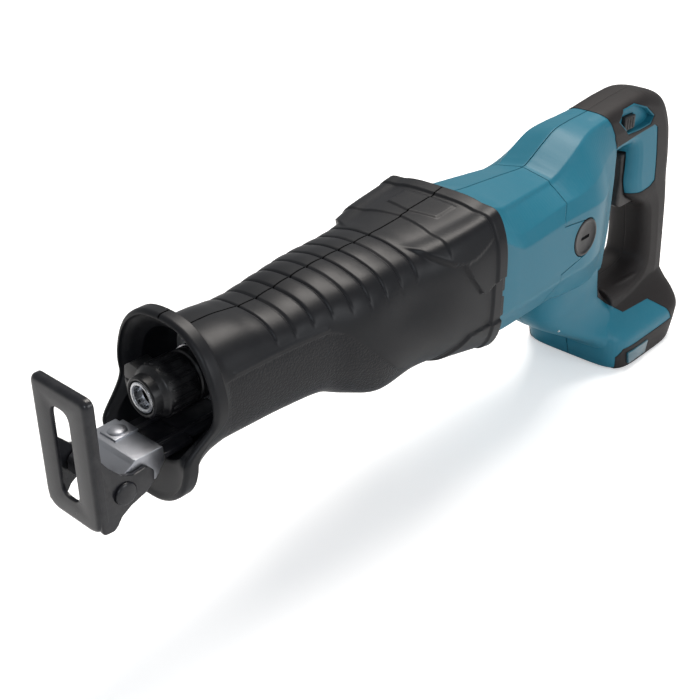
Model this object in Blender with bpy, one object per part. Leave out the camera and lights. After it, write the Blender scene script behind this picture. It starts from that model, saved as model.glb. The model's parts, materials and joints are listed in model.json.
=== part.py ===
"""Cordless reciprocating saw with a D handle: shells, grips, motor, crank drive, blade clamp and shoe.

Lengths are in metres. Every piece is drawn in the barrel's own axes: Y runs from the shoe (-Y) to the handle
(+Y), X is the tool's left side, and Z = 0 is the centre line of the blade shaft. The empty called saw carries
them all, and stands the tool on its battery foot with the middle of its length over the world's origin.
"""

import math

import bmesh
import bpy
from mathutils import Matrix, Vector

# Whole tool
SHOE_FACE_Y = -0.1755
GRIP_REAR_Y = 0.3115
FOOT_BOTTOM_Z = -0.1365
GAP = 0.0004  # left between pieces that touch on the real tool
RUNNING = 0.0001  # radial clearance of a shaft in its bush
PARTING = 0.0002  # each clamshell half stops this far from the middle plane

# Drive
STROKE = 0.032
CRANK_RADIUS = STROKE / 2
CRANK_Y = -0.008
MOTOR_Z = -0.018
GEAR_TEETH = 48
PINION_TEETH = 8
GEAR_OUTER = 0.0285
GEAR_INNER = 0.0235
GEAR_BASE_Z = -0.0300
TOOTH_SHARE = 0.34  # of the pitch that one tooth fills
CRANK_PIN_RADIUS = 0.0028
ROLLER_RADIUS = 0.0042
YOKE_HALF_HEIGHT = 0.0055
YOKE_WALL = 0.0028
# A crank drives the yoke along a sine, which leaves the straight-line coupling by up to this much.
COUPLING_ERROR = 0.0034
CRANK_STUB_RADIUS = 0.0060
CRANK_BEARING_RADIUS = 0.0130
CRANK_BEARING_Z = (-0.0395, -0.0325)
CRANK_SEAT_RIM = 0.0040
GEAR_WEB_Z = -0.0262
GEAR_WINDOWS = 5
ADDENDUM = 0.75  # of the tooth's module
DEDENDUM = 1.10
TOOTH_TIP_SHARE = 0.45  # of a tooth's foot that its tip fills
YOKE_CHAMFER = 0.0045

# Blade shaft and clamp
SHAFT_RADIUS = 0.0070
SHAFT_FRONT_Y = -0.1280
SHAFT_Z = -0.0050
SHAFT_CENTRE = (0, 0, SHAFT_Z)
BUSH_WALL = 0.0020
FRONT_BUSH = (-0.0890, -0.0720)
REAR_BUSH = (-0.0520, -0.0385)
GUIDE_TUBE_WALL = 0.0018
SEAL_DEPTH = 0.0035
CLAMP_FRONT_Y = -0.1345
CLAMP_LENGTH = 0.0330
CLAMP_RADIUS = 0.0125
BLADE_SLOT = (0.0022, 0.0100, 0.0200)  # width, height and depth of the slot that takes the blade's tang
LEVER_REACH = 0.0195

# Barrel and its rubber boot. Each row is (y, half width, height of the widest line, top, bottom).
BOOT_STATIONS = (
    (-0.1130, 0.0290, -0.0080, 0.0215, -0.0390),
    (-0.1080, 0.0276, -0.0080, 0.0197, -0.0375),
    (-0.0920, 0.0276, -0.0080, 0.0194, -0.0375),
    (-0.0700, 0.0282, -0.0080, 0.0166, -0.0378),
    (-0.0450, 0.0305, -0.0090, 0.0195, -0.0395),
    (-0.0290, 0.0340, -0.0120, 0.0212, -0.0460),
    (-0.0100, 0.0368, -0.0160, 0.0217, -0.0510),
    (0.0150, 0.0375, -0.0160, 0.0225, -0.0500),
    (0.0400, 0.0390, -0.0150, 0.0245, -0.0510),
    (0.0620, 0.0405, -0.0140, 0.0262, -0.0550),
    (0.0650, 0.0417, -0.0140, 0.0295, -0.0575),
    (0.0730, 0.0417, -0.0140, 0.0300, -0.0580),
)
BOOT_ROUNDNESS = 2.7
BOOT_WALL = 0.0024
BARREL_WALL = 0.0024
BARREL_FRONT_Y = -0.0940
GUIDE_PLATE_DEPTH = 0.0040
RIB_FIRST_Y = -0.0640
RIB_PITCH = 0.0118
RIB_COUNT = 8
RIB_RISE = 0.0012
NOSE_RADIUS = 0.0345
NOSE_FRONT_Y = -0.1210
NOSE_BACK_Y = -0.1140
NOSE_MOUTH_RADIUS = 0.0290
NOSE_LIP_BOTTOM_Z = -0.0650
NOSE_LIP_HALF_WIDTH = 0.0205
NOSE_LIP_WALL = 0.0035

# Motor
MOTOR_HOUSING_WALL = 0.0026
MOTOR_HOUSING_ROUNDNESS = 3.6
MOTOR_STATIONS = (
    (0.0734, 0.0392, -0.0150, 0.0258, -0.0560),
    (0.1100, 0.0385, -0.0150, 0.0232, -0.0575),
    (0.1470, 0.0372, -0.0150, 0.0203, -0.0575),
)
FIELD_RADIUS = 0.0275
FIELD_WALL = 0.0030
FIELD_Y = (0.0960, 0.1450)
MAGNET_DEPTH = 0.0040
MAGNET_ARC = 130  # degrees
AIR_GAP = 0.0006
CORE_Y = (0.1000, 0.1400)
CORE_SLOTS = 12
CORE_SLOT_DEPTH = 0.0040
MOTOR_SHAFT_RADIUS = 0.0040
MOTOR_SHAFT_REAR_Y = 0.1860
FAN_Y = (0.0800, 0.0900)
FAN_RADIUS = 0.0230
FAN_BLADES = 11
COMMUTATOR_Y = (0.1550, 0.1700)
COMMUTATOR_RADIUS = 0.0115
FRONT_BEARING_Y = (0.0420, 0.0500)
REAR_BEARING_Y = (0.1750, 0.1820)
BEARING_RADIUS = 0.0110
BRACKET_DEPTH = 0.0040
BRUSH_Y = 0.1628
BRUSH_SIZE = (0.0100, 0.0080, 0.0055)  # along X, along Y, along Z
BRUSH_TUBE_WALL = 0.0016
CAP_RADIUS = 0.0118
CAP_DEPTH = 0.0070
CAP_FACE_X = 0.0376
CAP_SLOT = (0.0110, 0.0016, 0.0012)  # long, wide, deep

# Handle clamshell
SHELL_WALL = 0.0026
REAR_STATIONS = (
    (0.1474, 0.0372, -0.0150, 0.0203, -0.0575),
    (0.1630, 0.0374, -0.0160, 0.0275, -0.0600),
    (0.1820, 0.0365, -0.0180, 0.0356, -0.0640),
    (0.2000, 0.0320, -0.0190, 0.0365, -0.0680),
    (0.2140, 0.0245, -0.0200, 0.0350, -0.0700),
    (0.2210, 0.0150, -0.0200, 0.0200, -0.0640),
)
LOOP_OUTER = (
    (0.2050, 0.0345),
    (0.2525, 0.0380),
    (0.2700, 0.0350),
    (0.2820, 0.0270),
    (0.2915, 0.0130),
    (0.2968, -0.0050),
    (0.3022, -0.0400),
    (0.3062, -0.0800),
    (0.3080, -0.1080),
    (0.2980, -0.1200),
    (0.2250, -0.1200),
    (0.1950, -0.1050),
    (0.1950, -0.0700),
    (0.2150, -0.0550),
    (0.2150, 0.0100),
)
FINGER_HOLE = (
    (0.2260, 0.0060),
    (0.2400, 0.0085),
    (0.2430, 0.0050),
    (0.2430, -0.0240),
    (0.2480, -0.0300),
    (0.2600, -0.0375),
    (0.2740, -0.0430),
    (0.2790, -0.0540),
    (0.2822, -0.0760),
    (0.2760, -0.0845),
    (0.2310, -0.0845),
    (0.2235, -0.0760),
    (0.2250, -0.0200),
)
LOOP_HALF_WIDTH = 0.0148
PAD_DEPTH = 0.0026
PAD_REGION = (
    (0.2240, 0.0600),
    (0.3500, 0.0600),
    (0.3500, -0.0885),
    (0.2430, -0.0885),
    (0.2430, -0.0060),
    (0.2240, 0.0060),
)
TRIGGER_WINDOW = (
    (0.2200, 0.0130),
    (0.2410, 0.0155),
    (0.2680, 0.0185),
    (0.2720, 0.0160),
    (0.2760, -0.0050),
    (0.2785, -0.0220),
    (0.2740, -0.0250),
    (0.2630, -0.0265),
    (0.2200, -0.0250),
)
CHIN_OUTLINE = (
    (0.1500, -0.0450),
    (0.1505, -0.0680),
    (0.1580, -0.0890),
    (0.1900, -0.1040),
    (0.2180, -0.1190),
    (0.2400, -0.1190),
    (0.2380, -0.0860),
    (0.2180, -0.0800),
    (0.2100, -0.0450),
)
CHIN_HALF_WIDTH = 0.0270

# Battery foot. Each row is (z, half width, front y, rear y).
FOOT_STATIONS = (
    (FOOT_BOTTOM_Z, 0.0372, 0.2310, 0.2950),
    (-0.1340, 0.0380, 0.2290, 0.2980),
    (-0.1190, 0.0380, 0.2175, GRIP_REAR_Y - 0.0060),
    (-0.1090, 0.0335, 0.2160, GRIP_REAR_Y),
    (-0.0900, 0.0160, 0.2400, 0.3040),
)
FOOT_ROUNDNESS = 7.0
BAY_FRONT_Y = 0.2420
BAY_HALF_WIDTH = 0.0310
BAY_ROOF_Z = -0.1230
RAIL_LIP = 0.0040
RAIL_DEPTH = 0.0036
BADGE = (0.0260, 0.0085, 0.0012)  # long, high, deep
BADGE_Z = -0.1290
BADGE_Y = 0.2440

# Trigger, switch and lock
TRIGGER_TRAVEL = 0.0070
TRIGGER_HALF_WIDTH = 0.0085
TRIGGER_TOP_Z = 0.0020
TRIGGER_BOTTOM_Z = -0.0360
TRIGGER_REAR_Y = 0.2740
TRIGGER_FRONT_Y = 0.2475
LOCK_Y = 0.2400
LOCK_Z = 0.0260
LOCK_SIZE = (0.0120, 0.0090)  # along Y, along Z
SWITCH_LOW = (0.2822, -0.0260)  # y, z
SWITCH_HIGH = (0.2935, 0.0030)
CONTROLLER = (0.0180, 0.1760, -0.0940, 0.2120, -0.0700)  # half width, low y, low z, high y, high z
TERMINAL = (0.0150, 0.0140, 0.0075)  # half width, along Y, along Z
SWITCH_HALF_WIDTH = 0.0100
TRIGGER_GAP = 0.0005
TRIGGER_HOLLOW = 0.0022
LOCK_STAND = 0.0030  # how far the bar stands out of the right-hand side at rest
LOCK_SUNK = 0.0020  # how far its left end lies below the surface

# Shoe
SHOE_HALF_WIDTH = 0.0190
SHOE_TOP_Z = 0.0190
SHOE_BOTTOM_Z = -0.0480
SHOE_STEEL = 0.0026
SHOE_WINDOW = (0.0062, 0.0080, -0.0360)  # half width, top z, bottom z
SHOE_FLANGE = 0.0120
SHOE_LIP = 0.0080
SHOE_PIVOT = (-0.1610, -0.0315)  # y, z
SHOE_PIN_RADIUS = 0.0030
PIN_HEAD_RADIUS = 0.0055
PIN_HEAD_DEPTH = 0.0018
BRACKET_STEEL = 0.0025
BRACKET_HALF_WIDTH = 0.0120
BRACKET_REAR_Y = -0.0600
BRACKET_TOP_Z = -0.0262
BLOCK_REAR_Y = -0.1370
BLOCK_TOP_Z = -0.0210
BUTTON_Y = -0.0720
BUTTON_SIZE = (0.0140, 0.0100)  # along X, along Y
BUTTON_BOTTOM_Z = -0.0405
BUTTON_TRAVEL = 0.0040

# Screws
SCREW_RADIUS = 0.0020
SCREW_HEAD_RADIUS = 0.0036
SCREW_HEAD_DEPTH = 0.0024
SCREW_END_X = 0.0080
# Each row is (y, z, half width of the surface that the head sits in).
HANDLE_SCREWS = (
    (0.2720, 0.0240, LOOP_HALF_WIDTH),
    (0.2895, -0.0600, LOOP_HALF_WIDTH),
    (0.1640, -0.0740, CHIN_HALF_WIDTH),
    (0.2200, -0.1080, CHIN_HALF_WIDTH),
)

RING_POINTS = 28
ROUND_POINTS = 24

FINISHES = {
    # name: (red, green, blue, roughness, metallic)
    "teal_plastic": (0.045, 0.225, 0.300, 0.42, 0.0),
    "black_rubber": (0.030, 0.034, 0.042, 0.55, 0.0),
    "grip_rubber": (0.050, 0.047, 0.047, 0.62, 0.0),
    "black_plastic": (0.022, 0.022, 0.025, 0.40, 0.0),
    "black_steel": (0.060, 0.060, 0.070, 0.32, 0.6),
    "bright_steel": (0.620, 0.630, 0.650, 0.28, 1.0),
    "aluminium": (0.560, 0.570, 0.580, 0.45, 1.0),
    "bronze": (0.500, 0.330, 0.150, 0.40, 1.0),
    "copper": (0.720, 0.320, 0.160, 0.35, 1.0),
    "core_steel": (0.180, 0.180, 0.190, 0.50, 0.9),
    "magnet": (0.080, 0.080, 0.085, 0.60, 0.3),
    "carbon": (0.040, 0.040, 0.042, 0.75, 0.0),
    "felt": (0.200, 0.190, 0.170, 0.95, 0.0),
}


# ---------------------------------------------------------------- making and placing objects


def clear_scene():
    for thing in list(bpy.data.objects):
        bpy.data.objects.remove(thing, do_unlink=True)


def finish_for(name, finish):
    red, green, blue, roughness, metallic = FINISHES[finish]
    material = bpy.data.materials.new(name)
    material.use_nodes = True
    shader = material.node_tree.nodes["Principled BSDF"]
    shader.inputs["Base Color"].default_value = (red, green, blue, 1.0)
    shader.inputs["Roughness"].default_value = roughness
    shader.inputs["Metallic"].default_value = metallic
    return material


def link_mesh(name, shape, parent):
    """Closes off a bmesh as an object. Its faces are turned outwards first."""
    bmesh.ops.recalc_face_normals(shape, faces=shape.faces)
    mesh = bpy.data.meshes.new(name)
    shape.to_mesh(mesh)
    shape.free()
    thing = bpy.data.objects.new(name, mesh)
    bpy.context.scene.collection.objects.link(thing)
    thing.parent = parent
    return thing


def empty_at(name, position, parent):
    axis = bpy.data.objects.new(name, None)
    axis.empty_display_size = 0.01
    axis.location = position
    axis.parent = parent
    bpy.context.scene.collection.objects.link(axis)
    return axis


def finished(thing, finish, smooth_under=35):
    thing.data.materials.clear()
    thing.data.materials.append(finish_for(thing.name, finish))
    thing.data.shade_smooth()
    thing.data.set_sharp_from_angle(angle=math.radians(smooth_under))
    return thing


def carried_by(thing, axis):
    """Hands a piece over to the empty on its joint's axis, and leaves it where it is."""
    place = Vector(axis.location)
    holder = axis.parent
    while holder is not thing.parent:
        place += holder.location
        holder = holder.parent
    thing.data.transform(Matrix.Translation(-place))
    thing.parent = axis
    return thing


def helper(thing):
    thing.hide_render = True
    thing.display_type = "WIRE"
    return thing


def combine(thing, other, operation):
    step = thing.modifiers.new(operation.lower() + "_" + other.name, "BOOLEAN")
    step.operation = operation
    step.solver = "EXACT"
    step.object = helper(other)
    return thing


def cut(thing, other):
    return combine(thing, other, "DIFFERENCE")


def join(thing, other):
    return combine(thing, other, "UNION")


def mirrored(shape, side):
    """Turns a left-hand shape into its right-hand twin where side is -1."""
    if side < 0:
        for vertex in shape.verts:
            vertex.co.x = -vertex.co.x
    return shape


# ---------------------------------------------------------------- shapes


def superellipse(count, half_width, up, down, roundness):
    """Points (across, height) round a soft rectangle whose upper and lower halves have their own heights."""
    points = []
    for step in range(count):
        angle = 2 * math.pi * (step + 0.5) / count
        across = math.cos(angle)
        height = math.sin(angle)
        reach = up if height > 0 else down
        points.append(
            (
                half_width * math.copysign(abs(across) ** (2 / roundness), across),
                reach * math.copysign(abs(height) ** (2 / roundness), height),
            )
        )
    return points


def ring_at(station, inset, roundness):
    y, half_width, middle, top, bottom = station
    points = superellipse(
        RING_POINTS, half_width - inset, top - inset - middle, middle - bottom - inset, roundness
    )
    return [Vector((across, y, middle + height)) for across, height in points]


def station_at(stations, y):
    """The station at y, read off the straight line between its neighbours."""
    for before, after in zip(stations, stations[1:]):
        if before[0] <= y <= after[0]:
            share = (y - before[0]) / (after[0] - before[0])
            return tuple(a + share * (b - a) for a, b in zip(before, after))
    return stations[0] if y < stations[0][0] else stations[-1]


def stations_between(stations, low, high):
    inside = [row for row in stations if low < row[0] < high]
    return [(low, *station_at(stations, low)[1:]), *inside, (high, *station_at(stations, high)[1:])]


def bridge(shape, first, second):
    count = len(first)
    for index in range(count):
        after = (index + 1) % count
        shape.faces.new((first[index], first[after], second[after], second[index]))


def loft_shape(rings, bore=None):
    """A body through the rings. With bore, a second run of rings, it is a sleeve open at both ends."""
    shape = bmesh.new()
    outer = [[shape.verts.new(point) for point in ring] for ring in rings]
    for first, second in zip(outer, outer[1:]):
        bridge(shape, first, second)
    if bore is None:
        shape.faces.new(outer[0])
        shape.faces.new(outer[-1])
        return shape
    inner = [[shape.verts.new(point) for point in ring] for ring in bore]
    for first, second in zip(inner, inner[1:]):
        bridge(shape, first, second)
    bridge(shape, outer[0], inner[0])
    bridge(shape, outer[-1], inner[-1])
    return shape


def prism_shape(outline, low, high, axis="X"):
    """An outline drawn across the axis and pulled along it from low to high."""
    place = {
        "X": lambda a, b, along: Vector((along, a, b)),
        "Y": lambda a, b, along: Vector((a, along, b)),
        "Z": lambda a, b, along: Vector((a, b, along)),
    }[axis]
    return loft_shape([[place(a, b, along) for a, b in outline] for along in (low, high)])


def box_shape(low, high):
    corners = ((low[0], low[1]), (high[0], low[1]), (high[0], high[1]), (low[0], high[1]))
    return prism_shape(corners, low[2], high[2], "Z")


def turned_shape(profile, closed, axis="Y", centre=(0, 0, 0), points=ROUND_POINTS):
    """Turns (radius, along) points about an axis. A closed profile makes a ring, an open one a solid."""
    place = {
        "X": lambda radius, angle, along: Vector((along, radius * math.cos(angle), radius * math.sin(angle))),
        "Y": lambda radius, angle, along: Vector((radius * math.cos(angle), along, radius * math.sin(angle))),
        "Z": lambda radius, angle, along: Vector((radius * math.cos(angle), radius * math.sin(angle), along)),
    }[axis]
    shape = bmesh.new()
    rings = []
    for radius, along in profile:
        angles = [2 * math.pi * (step + 0.5) / points for step in range(points)]
        rings.append([shape.verts.new(place(radius, angle, along) + Vector(centre)) for angle in angles])
    for first, second in zip(rings, rings[1:]):
        bridge(shape, first, second)
    if closed:
        bridge(shape, rings[-1], rings[0])
    else:
        shape.faces.new(rings[0])
        shape.faces.new(rings[-1])
    return shape


def ring_shape(inner, outer, low, high, axis="Y", centre=(0, 0, 0), points=ROUND_POINTS):
    profile = ((outer, low), (outer, high), (inner, high), (inner, low))
    return turned_shape(profile, True, axis, centre, points)


def rod_shape(radius, low, high, axis="Y", centre=(0, 0, 0), points=ROUND_POINTS):
    return turned_shape(((radius, low), (radius, high)), False, axis, centre, points)


def softened(thing, width, segments=2, angle=40):
    edge = thing.modifiers.new("edges", "BEVEL")
    edge.width = width
    edge.segments = segments
    edge.limit_method = "ANGLE"
    edge.angle_limit = math.radians(angle)
    return thing


def offset_outline(outline, distance):
    """The outline moved outwards by distance, corner by corner, for an outline that runs clockwise."""
    moved = []
    count = len(outline)
    for index in range(count):
        before = Vector(outline[index - 1])
        here = Vector(outline[index])
        after = Vector(outline[(index + 1) % count])
        first = (here - before).normalized()
        second = (after - here).normalized()
        normal = Vector((-first.y, first.x)) + Vector((-second.y, second.x))
        normal /= 1 + first.dot(second)
        moved.append(tuple(here + distance * normal))
    return moved


# ---------------------------------------------------------------- barrel and boot


def boot_rows():
    """The boot's stations, with a crest and a trough added on top for each of its cross ribs."""
    rows = list(BOOT_STATIONS)
    for rib in range(RIB_COUNT):
        for share, rise in ((0.25, RIB_RISE), (0.75, -RIB_RISE / 2)):
            y = RIB_FIRST_Y + (rib + share) * RIB_PITCH
            y, half_width, middle, top, bottom = station_at(BOOT_STATIONS, y)
            rows.append((y, half_width, middle, top + rise, bottom))
    return sorted(rows)


def nose_ring(y, radius, lip_half_width, lip_bottom):
    """The outline of the nose: round above, and drawn down into a U-shaped lip below."""
    points = []
    narrow_at = 0.55 * -lip_bottom
    lip_centre = -lip_bottom - lip_half_width
    for step in range(RING_POINTS):
        angle = 2 * math.pi * (step + 0.5) / RING_POINTS
        across = math.cos(angle)
        height = math.sin(angle)
        if height > 0:
            points.append(Vector((radius * across, y, radius * height)))
            continue
        depth = lip_bottom * height
        spread = math.sqrt(max(0.0, 1 - depth / narrow_at))
        half_width = lip_half_width + (radius - lip_half_width) * spread
        past = max(0.0, depth - lip_centre) / lip_half_width
        half_width *= math.sqrt(max(0.0, 1 - past * past))
        points.append(Vector((math.copysign(half_width, across), y, -depth)))
    return points


def make_boot(saw):
    rings = [
        nose_ring(NOSE_FRONT_Y, NOSE_RADIUS, NOSE_LIP_HALF_WIDTH, NOSE_LIP_BOTTOM_Z),
        nose_ring(NOSE_BACK_Y, NOSE_RADIUS - 0.0010, NOSE_LIP_HALF_WIDTH, NOSE_LIP_BOTTOM_Z + 0.0010),
    ]
    rings += [ring_at(row, 0, BOOT_ROUNDNESS) for row in boot_rows()]
    mouth = NOSE_RADIUS - NOSE_MOUTH_RADIUS
    bore = [
        nose_ring(
            NOSE_FRONT_Y,
            NOSE_MOUTH_RADIUS,
            NOSE_LIP_HALF_WIDTH - NOSE_LIP_WALL,
            NOSE_LIP_BOTTOM_Z + NOSE_LIP_WALL,
        ),
        nose_ring(
            NOSE_BACK_Y,
            NOSE_MOUTH_RADIUS - mouth / 2,
            NOSE_LIP_HALF_WIDTH - NOSE_LIP_WALL,
            NOSE_LIP_BOTTOM_Z + 2 * NOSE_LIP_WALL,
        ),
    ]
    bore += [ring_at(row, BOOT_WALL, BOOT_ROUNDNESS) for row in BOOT_STATIONS]
    boot = link_mesh("front_boot", loft_shape(rings, bore), saw)
    cut(boot, link_mesh("boot_button_slot", button_slot(), saw))
    return finished(boot, "black_rubber")


def button_slot():
    """The slot under the barrel that the shoe's button slides across in."""
    length, width = BUTTON_SIZE
    return box_shape(
        (-length / 2 - GAP, BUTTON_Y - width / 2 - GAP, BUTTON_BOTTOM_Z - 0.01),
        (length / 2 + BUTTON_TRAVEL + GAP, BUTTON_Y + width / 2 + GAP, BRACKET_TOP_Z - BRACKET_STEEL),
    )


def barrel_rings(inset, low, high):
    return [ring_at(row, inset, BOOT_ROUNDNESS) for row in stations_between(BOOT_STATIONS, low, high)]


def make_gear_housing(saw):
    outer = BOOT_WALL + GAP
    rear = BOOT_STATIONS[-1][0]
    shell = loft_shape(
        barrel_rings(outer, BARREL_FRONT_Y, rear), barrel_rings(outer + BARREL_WALL, BARREL_FRONT_Y, rear)
    )
    housing = link_mesh("gear_housing", shell, saw)
    cut(housing, link_mesh("housing_button_slot", button_slot(), saw))
    return finished(housing, "aluminium")


def make_shaft_guide(saw):
    """The front plate of the gear housing, with the long tube that holds both bushes of the blade shaft."""
    inset = BOOT_WALL + 2 * GAP + BARREL_WALL
    plate_rear = BARREL_FRONT_Y + GUIDE_PLATE_DEPTH
    guide = link_mesh("shaft_guide", loft_shape(barrel_rings(inset, BARREL_FRONT_Y, plate_rear)), saw)
    bush_radius = SHAFT_RADIUS + RUNNING + BUSH_WALL
    tube = rod_shape(
        bush_radius + GUIDE_TUBE_WALL, BARREL_FRONT_Y + 0.0005, REAR_BUSH[1], "Y", SHAFT_CENTRE
    )
    join(guide, link_mesh("guide_tube", tube, saw))
    bore = rod_shape(
        bush_radius + GAP, BARREL_FRONT_Y - 0.01, REAR_BUSH[1] + 0.01, "Y", SHAFT_CENTRE
    )
    cut(guide, link_mesh("guide_bore", bore, saw))
    half_width = BRACKET_HALF_WIDTH + GAP
    passage = box_shape(
        (-half_width, BARREL_FRONT_Y - 0.01, BRACKET_TOP_Z - BRACKET_STEEL - 0.02),
        (half_width, plate_rear + 0.01, BRACKET_TOP_Z + GAP),
    )
    cut(guide, link_mesh("guide_passage", passage, saw))
    return finished(guide, "aluminium")


def make_bushes(saw):
    inner = SHAFT_RADIUS + RUNNING
    for name, (low, high) in (("front_bush", FRONT_BUSH), ("rear_bush", REAR_BUSH)):
        shape = ring_shape(inner, inner + BUSH_WALL, low, high, "Y", SHAFT_CENTRE)
        finished(link_mesh(name, shape, saw), "bronze")
    low = BARREL_FRONT_Y + GAP
    seal = ring_shape(inner, inner + BUSH_WALL, low, low + SEAL_DEPTH, "Y", SHAFT_CENTRE)
    return finished(link_mesh("shaft_seal", seal, saw), "felt")


def make_bearing(name, radius, bore, low, high, centre, axis, saw):
    """A shielded ball bearing as one ring, with the step of its races on both faces."""
    step = (high - low) / 12
    inner_race = bore + 0.3 * (radius - bore)
    outer_race = bore + 0.7 * (radius - bore)
    profile = (
        (radius, low),
        (radius, high),
        (outer_race, high),
        (outer_race, high - step),
        (inner_race, high - step),
        (inner_race, high),
        (bore, high),
        (bore, low),
        (inner_race, low),
        (inner_race, low + step),
        (outer_race, low + step),
        (outer_race, low),
    )
    bearing = link_mesh(name, turned_shape(profile, True, axis, centre), saw)
    return finished(bearing, "bright_steel")


def make_crank_seat(saw):
    """The plate in the floor of the gear housing that holds the crank gear's bearing, and the bearing."""
    low, high = CRANK_BEARING_Z
    make_bearing(
        "crank_bearing",
        CRANK_BEARING_RADIUS,
        CRANK_STUB_RADIUS + RUNNING,
        low,
        high,
        (0, CRANK_Y, 0),
        "Z",
        saw,
    )
    seat = ring_shape(
        CRANK_BEARING_RADIUS + GAP,
        CRANK_BEARING_RADIUS + CRANK_SEAT_RIM,
        low + 0.0010,
        high - 0.0010,
        "Z",
        (0, CRANK_Y, 0),
    )
    return finished(link_mesh("crank_seat", seat, saw), "aluminium")


def make_motor_bracket(saw):
    """The cross wall behind the gears. It carries the front bearing of the motor."""
    seat = FRONT_BEARING_Y[0] - GAP
    low = seat - BRACKET_DEPTH / 2
    inset = BOOT_WALL + 2 * GAP + BARREL_WALL
    bracket = link_mesh("motor_bracket", loft_shape(barrel_rings(inset, low, low + BRACKET_DEPTH)), saw)
    centre = (0, 0, MOTOR_Z)
    radius = BEARING_RADIUS + MOTOR_HOUSING_WALL
    tube = rod_shape(radius, low + 0.0005, FRONT_BEARING_Y[1] + 0.0010, "Y", centre)
    join(bracket, link_mesh("bracket_tube", tube, saw))
    bore = rod_shape(BEARING_RADIUS + GAP, seat, FRONT_BEARING_Y[1] + 0.01, "Y", centre)
    cut(bracket, link_mesh("bracket_bore", bore, saw))
    hole = rod_shape(MOTOR_SHAFT_RADIUS + 0.0010, low - 0.01, low + 0.01, "Y", centre)
    cut(bracket, link_mesh("bracket_hole", hole, saw))
    return finished(bracket, "aluminium")


# ---------------------------------------------------------------- crank drive


def module_at(cone):
    """Tooth height unit at a distance from the crank's axis."""
    return 2 * cone / GEAR_TEETH


def make_crank_gear(saw, crank):
    """A crown wheel with radial teeth on its upper rim, its hub and the stub that turns in the bearing."""
    slope = PINION_TEETH / GEAR_TEETH
    shape = bmesh.new()
    centre = Vector((0, CRANK_Y, MOTOR_Z))

    def point(cone, turn, level):
        rise = -cone * slope + (ADDENDUM if level else -DEDENDUM) * module_at(cone)
        return centre + Vector((cone * math.sin(turn), cone * math.cos(turn), rise))

    inner_top = []
    outer_top = []
    for tooth in range(GEAR_TEETH):
        for share, level in ((-0.5, 0), (-0.5 * TOOTH_TIP_SHARE, 1), (0.5 * TOOTH_TIP_SHARE, 1), (0.5, 0)):
            turn = 2 * math.pi * (tooth + share * TOOTH_SHARE) / GEAR_TEETH
            inner_top.append(shape.verts.new(point(GEAR_INNER, turn, level)))
            outer_top.append(shape.verts.new(point(GEAR_OUTER, turn, level)))
    count = len(inner_top)

    def level_ring(radius, z):
        turns = [2 * math.pi * (step // 4 + (step % 4 - 1.5) / 4) / GEAR_TEETH for step in range(count)]
        return [
            shape.verts.new(Vector((radius * math.sin(turn), CRANK_Y + radius * math.cos(turn), z)))
            for turn in turns
        ]

    web = level_ring(GEAR_INNER - 0.0015, GEAR_WEB_Z)
    rim = level_ring(GEAR_OUTER, GEAR_BASE_Z)
    bridge(shape, inner_top, outer_top)
    bridge(shape, web, inner_top)
    bridge(shape, outer_top, rim)
    shape.faces.new(web)
    shape.faces.new(rim)
    gear = link_mesh("crank_gear", shape, saw)
    stub_ends = (CRANK_BEARING_Z[0] - 0.0005, GEAR_BASE_Z + 0.0010)
    stub = rod_shape(CRANK_STUB_RADIUS, *stub_ends, "Z", (0, CRANK_Y, 0))
    join(gear, link_mesh("crank_stub", stub, saw))
    for turn in range(GEAR_WINDOWS):
        angle = 2 * math.pi * (turn + 1) / (GEAR_WINDOWS + 1)
        place = (0.0155 * math.sin(angle), CRANK_Y + 0.0155 * math.cos(angle), 0)
        window = rod_shape(0.0036, GEAR_BASE_Z - 0.01, GEAR_WEB_Z + 0.01, "Z", place, 12)
        cut(gear, link_mesh(f"gear_window_{turn + 1}", window, saw))
    return carried_by(finished(gear, "bright_steel", 25), crank)


def make_crank_pin(saw, crank):
    """The pin that stands on the gear at the crank's radius, and the roller that turns on it."""
    place = (0, CRANK_Y + CRANK_RADIUS, 0)
    bottom = SHAFT_Z - YOKE_HALF_HEIGHT
    top = SHAFT_Z + YOKE_HALF_HEIGHT - 0.0005
    pin = turned_shape(
        (
            (CRANK_PIN_RADIUS + 0.0020, GEAR_WEB_Z + GAP),
            (CRANK_PIN_RADIUS + 0.0020, bottom - 0.0010),
            (CRANK_PIN_RADIUS, bottom - 0.0010),
            (CRANK_PIN_RADIUS, top),
        ),
        False,
        "Z",
        place,
        16,
    )
    carried_by(finished(link_mesh("crank_pin", pin, saw), "bright_steel"), crank)
    roller = ring_shape(CRANK_PIN_RADIUS + RUNNING, ROLLER_RADIUS, bottom, top - 0.0003, "Z", place, 16)
    return carried_by(finished(link_mesh("crank_roller", roller, saw), "bronze"), crank)


def yoke_y():
    """Where the middle of the yoke's slot stands with the blade shaft drawn right in."""
    return CRANK_Y + CRANK_RADIUS


def yoke_slot_half():
    return ROLLER_RADIUS + COUPLING_ERROR + GAP


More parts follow.
